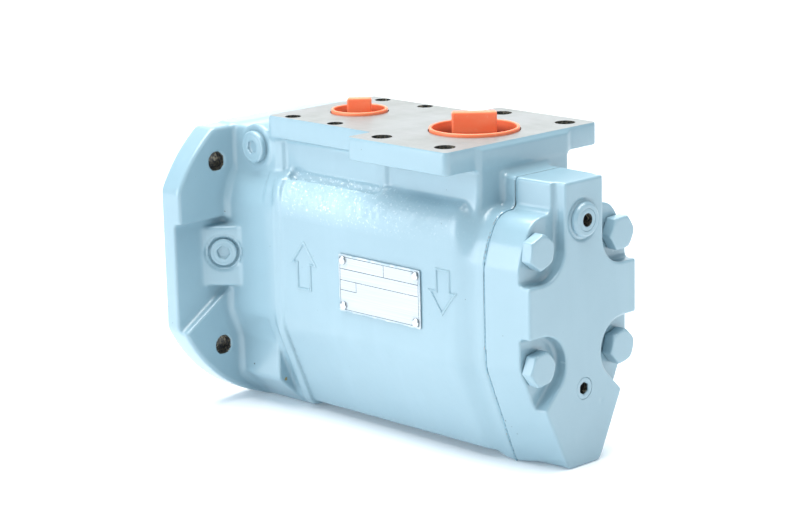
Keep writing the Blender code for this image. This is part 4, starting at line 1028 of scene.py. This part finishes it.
CAD_LOOKS = {
    "steel": ["power_rotor", "shaft_key", "idler_rotor_left", "idler_rotor_right", "relief_valve_piston",
              "relief_valve_spring_seat", "seal_collar", "seal_spring"],
    "bearing": ["bearing_inner_ring", "bearing_outer_ring"] + [f"bearing_ball_{i}" for i in range(1, 10)],
    "bronze": ["bearing_cage", "balance_bush", "idler_bush_left", "idler_bush_right"],
    "black": [f"front_cover_screw_{i}" for i in range(1, 5)] + ["bearing_circlip", "shaft_circlip"],
    "carrier": ["front_cover"],
    "rubber": ["front_cover_o_ring", "spindle_o_ring"],
    "gasket": ["rear_gasket"],
    "carbon": ["seal_seat", "seal_face_ring"],
}


def dress_cad_nodes(looks):
    """The CAD nodes that keep their own mesh get a node material each."""
    for look, names in CAD_LOOKS.items():
        for name in names:
            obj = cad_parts[name]
            obj.data.materials.clear()
            obj.data.materials.append(looks[look])


ORANGE, ORANGE_LIGHT = (1.0, 0.205, 0.080), (1.0, 0.275, 0.130)


def all_looks():
    return {
        "paint": paint("body_enamel", marks=BODY_MARKS),
        "cover_paint": paint("cover_enamel", 0.8, 0.21),
        "bolt_paint": paint("bolt_enamel", 0.7, 0.37),
        "plug_paint": paint("plug_enamel", 1.2, 0.53),
        "plate": machined("milled_iron", (0.345, 0.350, 0.335), 0.42),
        "inside": machined("bored_iron", (0.20, 0.20, 0.20), 0.42, (300.0, 300.0, 300.0), 0.6),
        "hole": rust_and_hole_shade("drilled_iron_rust_and_shade"),
        "inlet_plug": plastic("orange_inlet_closure", INLET_R, ORANGE, ORANGE_LIGHT),
        "outlet_plug": plastic("orange_outlet_closure", OUTLET_R, ORANGE, ORANGE_LIGHT),
        "plate_print": data_plate("printed_plate"),
        "rivet": metal("plated_rivet", (0.72, 0.76, 0.78), 0.25, (900.0, 900.0, 900.0)),
        "steel": metal("ground_steel", (0.52, 0.53, 0.55), 0.27),
        "bearing": metal("bearing_steel", (0.66, 0.67, 0.69), 0.14),
        "bronze": metal("sintered_bronze", (0.52, 0.36, 0.17), 0.36, (500.0, 500.0, 500.0)),
        "black": metal("black_oxide", (0.055, 0.057, 0.062), 0.38, (700.0, 700.0, 700.0)),
        "carrier": machined("turned_iron", (0.36, 0.37, 0.38), 0.36, (900.0, 40.0, 40.0), 0.35),
        "rubber": soft_part("nitrile", (0.022, 0.022, 0.024), 0.5),
        "gasket": soft_part("painted_gasket", (0.15, 0.26, 0.32), 0.6, 500.0),
        "carbon": soft_part("seal_carbon", (0.035, 0.035, 0.040), 0.3),
    }


# ------------------------------------------------------------------ studio
def floor_material():
    s = Shade("white_sweep", 0.55)
    s.set("Base Color", s.mix(s.span(s.noise(3.0), 0.3, 0.7), (0.90, 0.91, 0.92), (0.94, 0.945, 0.95)))
    s.set("Emission Color", (0.72, 0.88, 1.0, 1.0))
    s.set("Emission Strength", 0.12)
    return s.mat


def studio():
    """A white sweep that runs up behind the object."""
    steps = 16
    rows = [(-1.6, 0.0), (0.9, 0.0)]
    for i in range(1, steps + 1):
        a = math.pi / 2 * i / steps
        rows.append((0.9 + 0.6 * math.sin(a), 0.6 - 0.6 * math.cos(a)))
    rows.append((1.5, 2.6))
    away = Vector((-math.sin(CAMERA_AZ), math.cos(CAMERA_AZ), 0.0))
    across = Vector((math.cos(CAMERA_AZ), math.sin(CAMERA_AZ), 0.0))
    bm = bmesh.new()
    last = None
    for along, height in rows:
        points = [away * along + across * side + Vector((0, 0, height)) for side in (-2.6, 2.6)]
        pair = [bm.verts.new(p) for p in points]
        if last:
            bm.faces.new([last[0], last[1], pair[1], pair[0]])
        last = pair
    mesh = bpy.data.meshes.new("white_sweep")
    bm.to_mesh(mesh)
    bm.free()
    mesh.shade_smooth()
    sweep = bpy.data.objects.new("white_sweep", mesh)
    bpy.context.scene.collection.objects.link(sweep)
    sweep.data.materials.append(floor_material())


def lamp(name, place_m, target_m, size, power, colour=(1.0, 1.0, 1.0)):
    light = bpy.data.lights.new(name, "AREA")
    light.shape = "RECTANGLE"
    light.size, light.size_y = size
    light.energy = power
    light.color = colour
    obj = bpy.data.objects.new(name, light)
    obj.location = Vector(place_m)
    obj.rotation_mode = "QUATERNION"
    obj.rotation_quaternion = (Vector(target_m) - Vector(place_m)).to_track_quat("-Z", "Y")
    bpy.context.scene.collection.objects.link(obj)


def lights():
    middle = (0.0, 0.0, 0.06)
    lamp("overhead", (-0.10, -0.05, 1.35), middle, (1.4, 1.4), 38.0, (1.0, 0.99, 0.975))
    lamp("side", (-0.45, -1.30, 0.36), middle, (1.2, 0.7), 10.6, (0.91, 0.95, 1.0))
    lamp("end", (1.45, 0.45, 0.40), middle, (0.8, 0.8), 2.2, (1.0, 0.99, 0.97))
    world = bpy.data.worlds.new("studio")
    world.use_nodes = True
    world.node_tree.nodes["Background"].inputs["Color"].default_value = (0.78, 0.90, 1.0, 1.0)
    world.node_tree.nodes["Background"].inputs["Strength"].default_value = 0.48
    bpy.context.scene.world = world
    bpy.context.scene.view_settings.view_transform = "Standard"


CAMERA_AT = (0.7665, -0.7283, 0.3162)
CAMERA_AZ, CAMERA_EL, CAMERA_ROLL = 0.805332, 0.233348, -0.0233125


def camera():
    """Looks from the rear cover's side at the nameplate side, slightly from above."""
    az, el, roll = CAMERA_AZ, CAMERA_EL, CAMERA_ROLL
    view = Vector((-math.sin(az) * math.cos(el), math.cos(az) * math.cos(el), -math.sin(el)))
    level = Vector((math.cos(az), math.sin(az), 0.0))
    upright = level.cross(view)
    right = level * math.cos(roll) + upright * math.sin(roll)
    up = upright * math.cos(roll) - level * math.sin(roll)
    data = bpy.data.cameras.new("camera")
    data.sensor_width = 36.0
    data.lens = 114.6
    data.clip_start = 0.05
    obj = bpy.data.objects.new("camera", data)
    obj.matrix_world = Matrix((
        (right.x, up.x, -view.x, CAMERA_AT[0]),
        (right.y, up.y, -view.y, CAMERA_AT[1]),
        (right.z, up.z, -view.z, CAMERA_AT[2]),
        (0.0, 0.0, 0.0, 1.0)))
    bpy.context.scene.collection.objects.link(obj)
    bpy.context.scene.camera = obj


looks = all_looks()
make_castings(looks)
make_bolts(looks)
make_plugs(looks)
make_relief_valve_end(looks)
make_relief_spring(looks)
make_closures(looks)
make_nameplate(looks)
dress_cad_nodes(looks)
studio()
lights()
camera()
